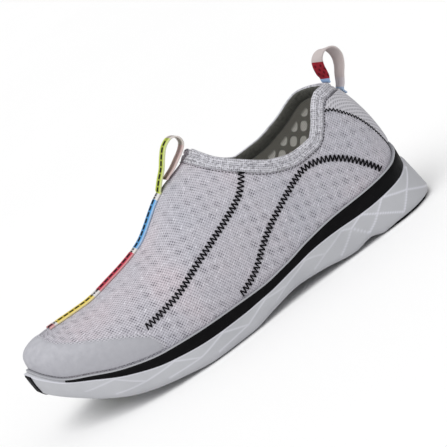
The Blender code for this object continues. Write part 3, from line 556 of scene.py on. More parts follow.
# Pull loops in the shoe's middle plane, as shares of LOOP_HEIGHT from their foot: forward x and up z of the
# tape's inner surface
LoopPoint = namedtuple("LoopPoint", "x z")
THROAT_LOOP = (
    LoopPoint(-0.17, 0.20),
    LoopPoint(-0.33, 0.37),
    LoopPoint(-0.47, 0.57),
    LoopPoint(-0.62, 0.75),
    LoopPoint(-0.80, 0.84),
    LoopPoint(-0.94, 0.79),
    LoopPoint(-0.97, 0.65),
    LoopPoint(-0.86, 0.52),
    LoopPoint(-0.68, 0.40),
    LoopPoint(-0.50, 0.29),
    LoopPoint(-0.34, 0.22),
    LoopPoint(-0.25, 0.18),
)
HEEL_LOOP = (
    LoopPoint(-0.337, -0.217),
    LoopPoint(-0.430, -0.033),
    LoopPoint(-0.537, 0.150),
    LoopPoint(-0.590, 0.333),
    LoopPoint(-0.550, 0.500),
    LoopPoint(-0.427, 0.587),
    LoopPoint(-0.287, 0.580),
    LoopPoint(-0.170, 0.493),
    LoopPoint(-0.120, 0.350),
    LoopPoint(-0.115, 0.200),
    LoopPoint(-0.122, 0.100),
)


def heading(path, i):
    """Direction of a path at its point i."""
    return (path[min(i + 1, len(path) - 1)] - path[max(i - 1, 0)]).normalized()


def curve_through(spots, steps):
    """Points along a smooth curve through these, by Catmull and Rom's rule."""
    ends = [spots[0] * 2 - spots[1]] + spots + [spots[-1] * 2 - spots[-2]]
    found = []
    for i in range(1, len(ends) - 2):
        p0, p1, p2, p3 = ends[i - 1 : i + 3]
        for k in range(steps):
            t = k / steps
            found.append(
                (p1 * 2 + (p2 - p0) * t + (p0 * 2 - p1 * 5 + p2 * 4 - p3) * t * t
                 + (p1 * 3 - p0 - p2 * 3 + p3) * t ** 3) / 2
            )
    return found + [spots[-1]]


def band_sections(path, width, turn):
    """Five (point, normal) across a flat band along a path; turn gives its twist about the vertical."""
    sections = []
    for i, at in enumerate(path):
        along = heading(path, i)
        across = Vector((-math.sin(turn(i)), math.cos(turn(i)), 0.0))
        across = (across - along * across.dot(along)).normalized()
        normal = across.cross(along).normalized()
        sections.append([(at + across * width * r, normal) for r in (0.5, 0.25, 0.0, -0.25, -0.5)])
    return sections


def heel_loop_path(steps):
    """The heel loop's inner surface: from the tab under the binding, out and over, back to the binding."""
    at, out, up = collar_edge()[0]
    heel = x_of(0.0)
    seat = OVERLAY_LIFT * 2.4 + OVERLAY_THICKNESS + GAP
    spots = [wall_point(LATERAL, heel, v) + wall_normal(LATERAL, heel, v) * seat for v in (0.84, 0.92)]
    foot = at + up * (BINDING_HEIGHT + GAP)
    spots += [foot + Vector((p.x, 0.0, p.z)) * LOOP_HEIGHT for p in HEEL_LOOP]
    rest = BINDING_RIB + GAP + TAPE_THICKNESS
    spots += [at + out * rest + up * BINDING_HEIGHT * rise for rise in (0.88, 0.70)]
    return list(reversed(curve_through(spots, steps)))


def heel_loop_sections(steps):
    path = heel_loop_path(steps)
    last = len(path) - 1

    def turn(i):
        return HEEL_LOOP_TWIST * min(i / (3 * steps), 1.0) * min((last - i) / (5 * steps), 1.0)

    return band_sections(path, TAPE_WIDTH, turn)


# Materials: each is built from maths, noise and ramps on a map in millimetres, or on the object's own place

class Signal:
    """A number or a colour in a material's nodes. Its arithmetic adds Math nodes."""

    def __init__(self, finish, socket):
        self.finish = finish
        self.socket = socket

    def __add__(self, other):
        return self.finish.math("ADD", self, other)

    def __sub__(self, other):
        return self.finish.math("SUBTRACT", self, other)

    def __rsub__(self, other):
        return self.finish.math("SUBTRACT", other, self)

    def __mul__(self, other):
        return self.finish.math("MULTIPLY", self, other)

    def __truediv__(self, other):
        return self.finish.math("DIVIDE", self, other)

    def at_least(self, other):
        return self.finish.math("MAXIMUM", self, other)

    def at_most(self, other):
        return self.finish.math("MINIMUM", self, other)

    def size(self):
        return self.finish.math("ABSOLUTE", self)

    def cosine(self, pitch):
        """A cosine between -1 and 1 with that pitch."""
        return self.finish.math("COSINE", self * (2 * math.pi / pitch))

    def wave(self, pitch):
        """A cosine between 0 and 1 with that pitch."""
        return self.cosine(pitch) * 0.5 + 0.5

    def step(self, low, high):
        """0 below low, 1 above high, smooth between; the other way round when low is above high."""
        node = self.finish.node("MapRange", self, low, high)
        node.interpolation_type = "SMOOTHSTEP"
        return Signal(self.finish, node.outputs[0])


class Finish:
    """A Principled material under construction."""

    def __init__(self, name, colour, roughness, sheen=0.0, specular=0.3):
        self.material = bpy.data.materials.new(name)
        self.material.use_nodes = True
        self.tree = self.material.node_tree
        self.shader = self.tree.nodes["Principled BSDF"]
        self.shader.inputs["Base Color"].default_value = (*colour, 1.0)
        self.shader.inputs["Roughness"].default_value = roughness
        self.shader.inputs["Sheen Weight"].default_value = sheen
        self.shader.inputs["Specular IOR Level"].default_value = specular
        self.material.diffuse_color = (*colour, 1.0)

    def link(self, value, socket):
        if isinstance(value, Signal):
            self.tree.links.new(value.socket, socket)
        else:
            socket.default_value = value

    def node(self, kind, *values):
        """A new node, with these values on its first inputs."""
        node = self.tree.nodes.new("ShaderNode" + kind)
        for value, socket in zip(values, node.inputs):
            self.link(value, socket)
        return node

    def math(self, operation, *values):
        node = self.node("Math", *values)
        node.operation = operation
        return Signal(self, node.outputs[0])

    def map(self, name="cloth", turn=0.0):
        """(u, v) in millimetres from a UV map, turned by an angle."""
        node = self.node("UVMap")
        node.uv_map = name
        split = self.node("SeparateXYZ", Signal(self, node.outputs[0]))
        u, v = Signal(self, split.outputs[0]), Signal(self, split.outputs[1])
        if not turn:
            return u, v
        cosine, sine = math.cos(turn), math.sin(turn)
        return u * cosine - v * sine, u * sine + v * cosine

    def place(self):
        """The object's own coordinates, in metres."""
        return Signal(self, self.node("TexCoord").outputs["Object"])

    def height(self):
        """Height above the floor, in metres."""
        return Signal(self, self.node("SeparateXYZ", self.place()).outputs[2])

    def noise(self, size, detail=2.0):
        """Even noise in the object's own place; size is its grain in metres."""
        node = self.node("TexNoise", self.place())
        node.inputs["Scale"].default_value = 1 / size
        node.inputs["Detail"].default_value = detail
        return Signal(self, node.outputs[0])

    def streaks(self, u, v, along, across):
        """Noise drawn out along u; its grain is given in the map's millimetres."""
        join = self.node("CombineXYZ", u / along, v / across)
        node = self.node("TexNoise", Signal(self, join.outputs[0]))
        node.inputs["Scale"].default_value = 1.0
        return Signal(self, node.outputs[0])

    def cells(self, size):
        """Distance from scattered points that lie about that many metres apart, as a share of size."""
        node = self.node("TexVoronoi", self.place())
        node.inputs["Scale"].default_value = 1 / size
        return Signal(self, node.outputs[0])

    def ramp(self, value, stops, constant=False):
        """A colour for each (position, colour)."""
        node = self.node("ValToRGB", value)
        node.color_ramp.interpolation = "CONSTANT" if constant else "LINEAR"
        elements = node.color_ramp.elements
        while len(elements) < len(stops):
            elements.new(1.0)
        for element, (position, colour) in zip(elements, stops):
            element.position = position
            element.color = (*colour, 1.0)
        return Signal(self, node.outputs[0])

    def mottle(self, size, first, second, detail=2.0):
        """Noise between two colours; size is its grain in metres."""
        return self.ramp(self.noise(size, detail), ((0.3, first), (0.7, second)))

    def mix(self, share, first, second):
        """first where share is 0, second where it is 1."""
        node = self.node("Mix")
        node.data_type = "RGBA"
        self.link(share, node.inputs[0])
        for value, socket in ((first, node.inputs[6]), (second, node.inputs[7])):
            self.link((*value, 1.0) if isinstance(value, tuple) else value, socket)
        return Signal(self, node.outputs[2])

    def colour(self, value):
        self.link(value, self.shader.inputs["Base Color"])

    def roughness(self, value):
        self.link(value, self.shader.inputs["Roughness"])

    def bump(self, height, depth):
        """Bump of that depth in metres for a height of 0 to 1."""
        node = self.node("Bump")
        node.inputs["Distance"].default_value = depth
        self.link(height, node.inputs["Height"])
        self.tree.links.new(node.outputs[0], self.shader.inputs["Normal"])

    def attribute(self, name):
        node = self.node("Attribute")
        node.attribute_name = name
        return Signal(self, node.outputs["Fac"])


# The sandwich mesh: lengths in the map's millimetres
WEAVE_TURN = math.radians(31)
HOLE_PITCH_U = 1.7
HOLE_PITCH_V = 1.5
CLUSTER_PITCH_U = 9.4
CLUSTER_PITCH_V = 13.2
CLUSTER_SWAY = 3.2  # how far the clusters wander in all
# Size of the painted highlight streaks on the mesh's ribs
STREAK_LENGTH = 4.2
STREAK_WIDTH = 0.9

# Pitches of the other cloths, in millimetres
LINING_WINDOWS = 12.5
LINING_PITCH = 1.3
TAPE_RIB_PITCH = 0.9
TAPE_RIB_SLANT = 0.6
LOOP_FIGURE_PITCH = 5.0


def fine_holes(finish):
    """The mesh's fine holes, 0 to 1."""
    u, v = finish.map("cloth", WEAVE_TURN)
    return (u.wave(HOLE_PITCH_U) * v.wave(HOLE_PITCH_V)).step(0.12, 0.72)


def open_clusters(finish):
    """The mesh's clusters of wider holes, 0 to 1, here and there weaker."""
    u, v = finish.map("cloth", WEAVE_TURN)
    sway = (finish.noise(0.007) - 0.5) * CLUSTER_SWAY
    cells = (u + sway).cosine(CLUSTER_PITCH_U) * (v - sway).cosine(CLUSTER_PITCH_V)
    strength = finish.noise(0.016, 1.0).step(0.36, 0.66) * 0.7 + 0.3
    return cells.step(-0.10, 0.95) * strength


def painted_rib_highlights(finish):
    """Painted highlights, as light streaks on the mesh's raised ribs, 0 to 1."""
    u, v = finish.map("cloth", WEAVE_TURN)
    return finish.streaks(u, v, STREAK_LENGTH, STREAK_WIDTH).step(0.56, 0.68)


def upper_finish():
    made = Finish("sandwich_mesh", (0.44, 0.43, 0.47), 0.85, sheen=0.15)
    dots, clusters = fine_holes(made), open_clusters(made)
    base = made.ramp(
        made.noise(0.045, 3.0),
        ((0.32, (0.485, 0.48, 0.535)), (0.52, (0.52, 0.50, 0.55)), (0.70, (0.57, 0.515, 0.56))),
    )
    # Painted highlights: light streaks lighten the base where the mesh's ribs would catch the light.
    lit = made.mix(painted_rib_highlights(made) * 0.55, base, (0.84, 0.83, 0.89))
    grain = made.noise(0.0013) - 0.5
    shade = dots * (clusters * 0.46 + 0.40) + clusters * 0.15
    dark = (shade + grain * 0.80).at_least(0.0)
    made.colour(made.mix(dark, lit, (0.105, 0.10, 0.125)))
    relief = (1.0 - dots) * 0.35 - clusters * 0.7
    made.bump(relief + grain * 0.25, 0.0009)
    return made.material


def lining_finish():
    made = Finish("lining_mesh", (0.085, 0.085, 0.072), 0.9, sheen=0.3)
    u, v = made.map("top")
    cells = (u + v).wave(LINING_WINDOWS) * (u - v).wave(LINING_WINDOWS)
    windows = cells.step(0.10, 0.30) * v.step(4.0, 7.0)
    fine = u.wave(LINING_PITCH) * v.wave(LINING_PITCH)
    dark = made.mix(fine, (0.27, 0.26, 0.23), (0.14, 0.14, 0.12))
    pale = made.mix(fine, (0.88, 0.86, 0.80), (0.60, 0.59, 0.55))
    made.colour(made.mix(windows, dark, pale))
    made.bump(fine * 0.4 - windows, 0.0005)
    return made.material


def cap_finish():
    """A film that turns into bare mesh at its free border, with painted shade on its lower part towards the
    sole.
    """
    made = Finish("cap_film", (0.42, 0.42, 0.45), 0.62)
    dots = fine_holes(made)
    border = made.attribute("border")
    clean = made.mottle(0.004, (0.385, 0.385, 0.420), (0.45, 0.45, 0.485), 4.0)
    # Painted shade: the film darkens from 58 mm down to 36 mm above the floor, towards the sole.
    film = made.mix(made.height().step(0.058, 0.036) * 0.6, clean, (0.345, 0.345, 0.375))
    weave = made.mix(dots * 0.7, (0.51, 0.50, 0.545), (0.14, 0.135, 0.16))
    ragged = (border + made.noise(0.0022) * 1.3).step(0.75, 1.25)
    made.colour(made.mix(ragged, weave, film))
    relief = (1.0 - dots) * (1.05 - border.step(0.0, 1.0))
    made.bump(relief + made.noise(0.0011) * 0.22, 0.0004)
    return made.material


def knit_finish(name, light, dark, pitch=1.1, depth=0.0003):
    """A close knit, such as the collar's binding."""
    made = Finish(name, light, 0.8, sheen=0.15)
    u, v = made.map()
    knit = u.wave(pitch) * v.wave(pitch * 1.2) + made.noise(0.0015, 3.0) * 3.6 - 1.5
    made.colour(made.mix((knit * 0.62).at_least(0.0).at_most(1.0), light, dark))
    made.bump(knit, depth)
    return made.material


def tab_finish():
    made = Finish("tab_mesh", (0.50, 0.49, 0.53), 0.8, sheen=0.15)
    dots = fine_holes(made)
    base = made.mottle(0.02, (0.52, 0.51, 0.55), (0.58, 0.57, 0.61))
    made.colour(made.mix(dots * 0.60, base, (0.16, 0.155, 0.18)))
    made.bump(1.0 - dots, 0.0004)
    return made.material


def foam_finish():
    """Foam with painted light from its attribute: painted highlights where it is above 0, on the side's
    ridges and the groove's lower edge, and painted shade where it is below, along the rim's lip beside the
    upper.
    """
    made = Finish("eva_foam", (0.47, 0.475, 0.50), 0.5)
    ridge = made.attribute("ridge")
    tone = made.mottle(0.03, (0.41, 0.415, 0.44), (0.46, 0.465, 0.49), 3.0)
    # Painted highlight where the attribute is above 0; the next line paints shade where it is below 0.
    lit = made.mix(ridge.at_least(0.0) * 0.85, tone, (0.72, 0.72, 0.79))
    made.colour(made.mix((ridge * -1.0).at_least(0.0) * 0.75, lit, (0.17, 0.17, 0.19)))
    made.roughness(made.noise(0.006) * 0.2 + 0.45)
    made.bump(made.noise(0.0009), 0.00012)
    return made.material


def rubber_finish(name="stripe_rubber", tone=0.003):
    clean = (tone, tone * 0.95, tone * 1.15)
    worn = (tone * 1.7, tone * 1.6, tone * 1.8)
    made = Finish(name, clean, 0.6, specular=0.06)
    made.colour(made.ramp(made.noise(0.006, 4.0), ((0.35, clean), (0.75, worn))))
    made.roughness(made.noise(0.004) * 0.25 + 0.40)
    made.bump(made.noise(0.0011, 3.0), 0.00012)
    return made.material


def thread_finish(name, colour):
    made = Finish(name, colour, 0.75, specular=0.10)
    made.colour(made.mottle(0.002, colour, tuple(min(1.0, c * 1.5 + 0.001) for c in colour)))
    made.bump(made.noise(0.0006), 0.0001)
    return made.material


# Colours along the vamp's tape, from the toe up to and round its loop: x is in millimetres along it
TapeColour = namedtuple("TapeColour", "x red green blue")
VAMP_COLOURS = (
    TapeColour(0.0, 0.62, 0.24, 0.26),
    TapeColour(2.4, 0.74, 0.72, 0.72),
    TapeColour(4.6, 0.95, 0.74, 0.09),
    TapeColour(34.0, 0.82, 0.80, 0.78),
    TapeColour(38.6, 0.66, 0.022, 0.07),
    TapeColour(71.6, 0.82, 0.80, 0.78),
    TapeColour(74.6, 0.10, 0.42, 0.84),
    TapeColour(109.0, 0.80, 0.80, 0.80),
    TapeColour(113.6, 0.56, 0.68, 0.07),
    TapeColour(149.5, 0.66, 0.60, 0.56),
    TapeColour(160.0, 0.74, 0.52, 0.52),
)
TAPE_JOINTS = (3.4, 36.2, 73.0, 111.0)  # millimetres along the tape, where its dashes are short
JOINT_REACH = 2.2  # half the length of such a stretch
DASH_PITCH = 4.3
SHORT_DASH_PITCH = 1.9
DASHES_END = 150.0

# Colours along the heel's loop: x is a share of its length
HEEL_COLOURS = (
    TapeColour(0.0, 0.30, 0.46, 0.72),
    TapeColour(0.045, 0.31, 0.006, 0.020),
    TapeColour(0.24, 0.60, 0.54, 0.53),
    TapeColour(0.80, 0.62, 0.58, 0.60),
    TapeColour(0.90, 0.40, 0.52, 0.70),
)


def tape_bands(finish, share, rows, whole):
    """Bands of colour at a share of the tape's length; whole is that length in the unit of the rows' x."""
    stops = [(row.x / whole, (row.red, row.green, row.blue)) for row in rows]
    return finish.ramp(share, stops, constant=True)


def tape_ribs(u, v):
    return (u + v * TAPE_RIB_SLANT).wave(TAPE_RIB_PITCH)


def tape_finish():
    made = Finish("vamp_webbing", (0.16, 0.46, 0.80), 0.8, specular=0.08)
    u, v = made.map()
    band = tape_bands(made, u / VAMP_LENGTH, VAMP_COLOURS, VAMP_LENGTH)
    away = v.size()
    deep = made.mix(away.step(3.4, 1.4), band, made.mix(0.42, band, (0.02, 0.02, 0.03)))
    soft = made.mix(away.step(3.3, 4.8) * 0.42, deep, (0.86, 0.82, 0.78))
    near = [(u - at).size().step(JOINT_REACH, JOINT_REACH - 0.5) for at in TAPE_JOINTS]
    joints = reduce(Signal.at_least, near)
    long_dashes = u.wave(DASH_PITCH).step(0.10, 0.18) - joints
    short_dashes = u.wave(SHORT_DASH_PITCH).step(0.40, 0.50) * joints
    black = long_dashes.at_least(short_dashes) * away.step(2.1, 1.7) * u.step(DASHES_END, DASHES_END - 2.0)
    ribs = tape_ribs(u, v)
    woven = made.mix(ribs * 0.22, soft, (0.25, 0.2, 0.2))
    made.colour(made.mix(black * 0.97, woven, (0.008, 0.008, 0.010)))
    made.bump(ribs - black * 0.5, 0.0002)
    return made.material


def heel_loop_finish():
    made = Finish("heel_webbing", (0.33, 0.012, 0.03), 0.8, specular=0.08)
    u, v = made.map()
    band = tape_bands(made, u / HEEL_LOOP_LENGTH, HEEL_COLOURS, 1.0)
    figure = (u + v).wave(LOOP_FIGURE_PITCH) * (u - v).wave(LOOP_FIGURE_PITCH)
    dark = figure.step(0.42, 0.55) * u.step(3.0, 4.0) * u.step(15.0, 14.0)
    ribs = tape_ribs(u, v)
    woven = made.mix(ribs * 0.2, band, (0.22, 0.16, 0.16))
    made.colour(made.mix(dark * 0.8, woven, (0.07, 0.006, 0.012)))
    made.bump(ribs, 0.0002)
    return made.material


def board_finish():
    made = Finish("footbed_cloth", (0.10, 0.10, 0.088), 0.9, sheen=0.25)
    dots = made.cells(0.0042).step(0.18, 0.42)
    made.colour(made.mix(dots, (0.035, 0.035, 0.03), (0.125, 0.125, 0.108)))
    made.bump(dots, 0.0005)
    return made.material


def net_finish():
    """The lime net behind the forefoot's drain recesses."""
    made = Finish("lime_net", (0.50, 0.72, 0.10), 0.6)
    holes = made.cells(0.0015).step(0.45, 0.25)
    made.colour(made.mix(holes, (0.50, 0.72, 0.10), (0.03, 0.05, 0.01)))
    made.bump(1.0 - holes, 0.0003)
    return made.material


def badge_finish():
    made = Finish("badge_plastic", (0.40, 0.41, 0.43), 0.45)
    made.colour(made.mottle(0.004, (0.36, 0.37, 0.39), (0.44, 0.45, 0.47)))
    made.bump(made.noise(0.0012), 0.0001)
    return made.material


# Pieces

def add_object(name, data):
    made = bpy.data.objects.new(name, data)
    bpy.context.scene.collection.objects.link(made)
    return made


def shoe_mesh(name, points, faces):
    """A mesh from points in last coordinates."""
    mesh = bpy.data.meshes.new(name)
    mesh.from_pydata([tuple(p + SHIFT) for p in points], [], faces)
    return mesh


def piece(name, points, faces, materials, maps=None, values=None, face_slots=None, angle=50):
    """A named mesh that rides on the shoe. maps holds (u, v) and values a number for each point."""
    mesh = shoe_mesh(name, points, faces)
    for label, spots in (maps or {}).items():
        layer = mesh.uv_layers.new(name=label)
        for loop in mesh.loops:
            layer.data[loop.index].uv = spots[loop.vertex_index]
    for label, numbers in (values or {}).items():
        layer = mesh.attributes.new(label, "FLOAT", "POINT")
        layer.data.foreach_set("value", numbers)
    for finish in materials:
        mesh.materials.append(finish)
    if face_slots:
        mesh.polygons.foreach_set("material_index", face_slots)
    shape = bmesh.new()
    shape.from_mesh(mesh)
    bmesh.ops.remove_doubles(shape, verts=shape.verts, dist=1e-6)
    bmesh.ops.recalc_face_normals(shape, faces=shape.faces)
    closed = all(edge.is_manifold for edge in shape.edges)
    if closed and shape.calc_volume(signed=True) < 0:
        bmesh.ops.reverse_faces(shape, faces=shape.faces)
    shape.to_mesh(mesh)
    shape.free()
    mesh.shade_smooth()
    mesh.set_sharp_from_angle(angle=math.radians(angle))
    made = add_object(name, mesh)
    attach(made, "root")
    return made


def arc_lengths(points):
    lengths = [0.0]
    for a, b in zip(points, points[1:]):
        lengths.append(lengths[-1] + (b - a).length / MM)
    return lengths


def distance_to_path(point, path):
    """Distance from a point to a polyline."""
    best = 1e9
    for a, b in zip(path, path[1:]):
        along = b - a
        t = min(max((point - a).dot(along) / along.length_squared, 0.0), 1.0)
        best = min(best, (point - a - along * t).length_squared)
    return math.sqrt(best)


# Sewn zigzag lines on the wall's lateral side, in millimetres
SeamPoint = namedtuple("SeamPoint", "x y z")
FRONT_SEAM = (
    SeamPoint(107.2, 27.0, 86.5),
    SeamPoint(116.9, 29.7, 75.7),
    SeamPoint(129.7, 33.4, 69.5),
    SeamPoint(147.0, 36.1, 62.9),
    SeamPoint(166.7, 38.9, 55.6),
    SeamPoint(187.1, 42.0, 47.8),
    SeamPoint(205.6, 42.7, 43.7),
    SeamPoint(216.2, 42.4, 42.0),
)
REAR_SEAM = (
    SeamPoint(153.6, 42.8, 24.0),
    SeamPoint(137.5, 40.0, 30.5),
    SeamPoint(119.1, 37.8, 44.2),
    SeamPoint(101.1, 39.0, 54.6),
    SeamPoint(76.3, 36.9, 65.6),
    SeamPoint(60.2, 35.1, 64.2),
    SeamPoint(47.5, 34.5, 57.6),
    SeamPoint(36.0, 32.1, 47.0),
    SeamPoint(26.5, 29.0, 35.0),
)
SEAM_STEPS = 8  # points on a seam's curve for each row


def seam_path(rows, side):
    return curve_through([Vector((row.x, row.y * side, row.z)) * MM for row in rows], SEAM_STEPS)


SEAMS = [seam_path(rows, side) for rows in (FRONT_SEAM, REAR_SEAM) for side in (LATERAL, MEDIAL)]
PUCKER_DEPTH = 0.45 * MM
PUCKER_WIDTH = 3.2 * MM


def pucker(point):
    """How far the cloth sinks near the sewn lines."""
    near = min(distance_to_path(point, path) for path in SEAMS)
    return PUCKER_DEPTH * math.exp(-((near / PUCKER_WIDTH) ** 2))


def build_upper():
    levels = [j / WALL_ROWS for j in range(WALL_ROWS + 1)]
    columns = []
    for side, x in COLUMNS:
        foot = plan_point(side, x).copy()
        foot.z = deck_height(x) + GAP
        columns.append([foot] + [wall_point(side, x, v) for v in levels])
    around_it = [column[1] for column in columns] + [columns[0][1]]
    length = arc_lengths(around_it)
    columns.append(columns[0])
    points, cloth, top = [], [], []
    last = len(STATIONS) - 1
    for i, column in enumerate(columns):
        girth = arc_lengths(column)
        u = length[i] if i <= last else length[-1] - length[i]
        for j, at in enumerate(column):
            if j > 1:
                away = at - Vector((at.x, 0.0, at.z * 0.6))
                at = at - away.normalized() * pucker(at)
            points.append(at)
            cloth.append((u, girth[j]))
            top.append((u, girth[-1] - girth[j]))
    faces = grid_faces(len(columns), len(levels) + 1)
    finishes = [upper_finish(), lining_finish()]
    made = piece("upper_mesh", points, faces, finishes, {"cloth": cloth, "top": top})
    thick = made.modifiers.new("wall", "SOLIDIFY")
    thick.thickness = UPPER_WALL
    thick.offset = -1.0
    thick.use_even_offset = True
    thick.material_offset = 1
    thick.material_offset_rim = 0
    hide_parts("upper")
    return made


def overlay(name, grid, maps, border, finish, lift, thickness, node):
    """A sheet over a grid of (point, normal) columns, which thins towards its free border."""
    columns, rows = len(grid), len(grid[0])
    points, cloth, values = [], [], []
    for layer in (1, 0):
        for i, column in enumerate(grid):
            for j, (at, normal) in enumerate(column):
                rise = lift + (thickness * border[i][j] if layer else -0.4 * MM)
                points.append(at + normal * rise)
                cloth.append(maps[i][j])
                values.append(border[i][j])
    under = columns * rows
    faces = grid_faces(columns, rows)
    faces += [tuple(under + k for k in reversed(quad)) for quad in faces]
    rim = [i * rows for i in range(columns)]
    rim += [(columns - 1) * rows + j for j in range(1, rows)]
    rim += [i * rows + rows - 1 for i in range(columns - 2, -1, -1)]
    rim += [j for j in range(rows - 2, 0, -1)]
    for k, a in enumerate(rim):
        b = rim[(k + 1) % len(rim)]
        faces.append((b, a, under + a, under + b))
    made = piece(name, points, faces, [finish], {"cloth": cloth}, {"border": values})
    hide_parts(node)


CAP_FOOT = 0.014  # where the toe cap begins, as a share of the wall
CAP_ROWS = 22
CAP_THIN = 4.5  # millimetres over which it thins towards its top
CAP_THIN_END = 6.0 * MM  # and towards its rear end


def build_toe_cap():
    start = x_of(TOE_CAP[0].x)
    xs = [start] + [x for x in STATIONS if x > start + 1 * MM]
    grid, maps, border = [], [], []
    spots = [(LATERAL, x) for x in xs] + [(MEDIAL, x) for x in reversed(xs[:-1])]
    for side, x in spots:
        top = smooth(TOE_CAP, "v", share_of(x))
        column = []
        for j in range(CAP_ROWS):
            v = CAP_FOOT + (top - CAP_FOOT) * j / (CAP_ROWS - 1)
            column.append((wall_point(side, x, v), wall_normal(side, x, v)))
        lengths = arc_lengths([at for at, _ in column])
        ends = min((x - start) / CAP_THIN_END, 1.0)
        grid.append(column)
        maps.append([(x / MM * side, length) for length in lengths])
        border.append([max(0.0, min(1.0, (lengths[-1] - length) / CAP_THIN, ends)) for length in lengths])
    overlay("toe_cap_film", grid, maps, border, cap_finish(), 0.15 * MM, 0.55 * MM, "toe_cap")


TAB_LIFT = 0.15 * MM
TAB_THICKNESS = 1.9 * MM
TAB_THIN = 7.0  # columns over which the tab thins towards its sides


def build_heel_tab():
    """The tab's piece, and the paths along its two sides."""
    rows = 30
    levels = [HEEL_TAB[0].x + (HEEL_TAB[-1].x - HEEL_TAB[0].x) * j / (rows - 1) for j in range(rows)]
    grid, maps, border, edges = [], [], [], {LATERAL: [], MEDIAL: []}
    reach = 20
    for k in range(-reach, reach + 1):
        side = LATERAL if k >= 0 else MEDIAL
        column = []
        for v in levels:
            x = x_of(smooth(HEEL_TAB, "reach", v) * (k / reach) ** 2)
            column.append((wall_point(side, x, v), wall_normal(side, x, v)))
        grid.append(column)
        lengths = arc_lengths([at for at, _ in column])
        maps.append([(at.y / MM, length) for (at, _), length in zip(column, lengths)])
        edge = min((reach - abs(k)) / TAB_THIN, 1.0)
        border.append([edge] * rows)
        if abs(k) == reach:
            edges[side] = [at + normal * 0.5 * MM for at, normal in column]
    finish = tab_finish()
    overlay(
        "heel_tab_mesh", grid, maps, border, finish, TAB_LIFT, TAB_THICKNESS, "heel_tab"
    )
    return edges


OFF_AXIS = Vector((0.31, 0.2, 0.93))  # a direction that no thread follows
THREAD_TIP = 0.35  # radius of a thread's ends as a share of its own


def tube(points, faces, path, radius, sides=6):
    """Adds a round rod along a path to points and faces."""
    start = len(points)
    for i, at in enumerate(path):
        along = heading(path, i)
        across = along.cross(OFF_AXIS).normalized()
        up = across.cross(along)
        taper = THREAD_TIP if i in (0, len(path) - 1) else 1.0
        for k in range(sides):
            angle = 2 * math.pi * k / sides
            points.append(at + (across * math.cos(angle) + up * math.sin(angle)) * radius * taper)
    faces.extend(rod_faces(start, len(path), sides))


def even_spots(path, pitch):
    """Points about a pitch apart along a path."""
    lengths = arc_lengths(path)
    count = max(2, round(lengths[-1] / pitch))
    spots = []
    i = 0
    for k in range(count + 1):
        goal = lengths[-1] * k / count
        while i < len(path) - 2 and lengths[i + 1] < goal:
            i += 1
        t = (goal - lengths[i]) / max(lengths[i + 1] - lengths[i], 1e-9)
        spots.append(path[i].lerp(path[i + 1], min(t, 1.0)))
    return spots


# A leg of a zigzag: (share of its length, height above the cloth in radii)
ZIGZAG_LEG = ((0.0, -0.6), (0.12, 0.35), (0.5, 0.75), (0.88, 0.35), (1.0, -0.6))


def zigzag(name, paths, surface, width, pitch, radius, finish):
    """Sewn zigzags: every leg is a thread of its own that dips into the cloth at its ends."""
    points, faces = [], []
    for path in paths:
        spots = even_spots(path, pitch / 2)
        corners = []
        for i, spot in enumerate(spots):
            at, normal, _, _ = surface.find_nearest(spot + SHIFT)
            along = heading(spots, i)
            across = normal.cross(along).normalized() * (width / 2) * (1 if i % 2 else -1)
            place, normal, _, _ = surface.find_nearest(at + across)
            corners.append((place - SHIFT, normal))
        for (a, na), (b, nb) in zip(corners, corners[1:]):
            leg = [a.lerp(b, t) + na.lerp(nb, t) * rise * radius for t, rise in ZIGZAG_LEG]
            tube(points, faces, leg, radius)
    piece(name, points, faces, [finish])


def running_line(name, path, radius, pitch, share, finish):
    """A row of short straight stitches along a path."""
    points, faces = [], []
    spots = even_spots(path, pitch)
    for a, b in zip(spots, spots[1:]):
        tube(points, faces, [a, a.lerp(b, share / 2), a.lerp(b, share)], radius, 5)
    piece(name, points, faces, [finish])


# Section of the collar's binding: u is a share of BINDING_HEIGHT above the wall's edge, n is in shares of
# BINDING_RIB outwards from the wall's outer surface
BindingPoint = namedtuple("BindingPoint", "n u")
BINDING = (
    BindingPoint(0.10, 0.010),
    BindingPoint(0.62, 0.060),
    BindingPoint(0.98, 0.170),
    BindingPoint(0.98, 0.300),
    BindingPoint(0.66, 0.400),
    BindingPoint(0.30, 0.450),
    BindingPoint(0.66, 0.500),
    BindingPoint(1.02, 0.600),
    BindingPoint(1.05, 0.740),
    BindingPoint(0.66, 0.890),
    BindingPoint(0.00, 0.980),
    BindingPoint(-0.75, 1.000),
    BindingPoint(-1.50, 0.965),
    BindingPoint(-2.05, 0.850),
    BindingPoint(-2.30, 0.600),
    BindingPoint(-2.30, 0.300),
    BindingPoint(-1.90, 0.050),
)
INNER_BINDING = range(12, 16)  # strips of the section that face the foot
BINDING_FOOT = 0.1  # points below this u are drawn down at the throat
BINDING_DROP = THROAT_EASE * 1.2
SEAM_DROP = 0.9 * MM  # from the wall's edge down to the binding's seam
SEAM_LIFT = 0.25 * MM


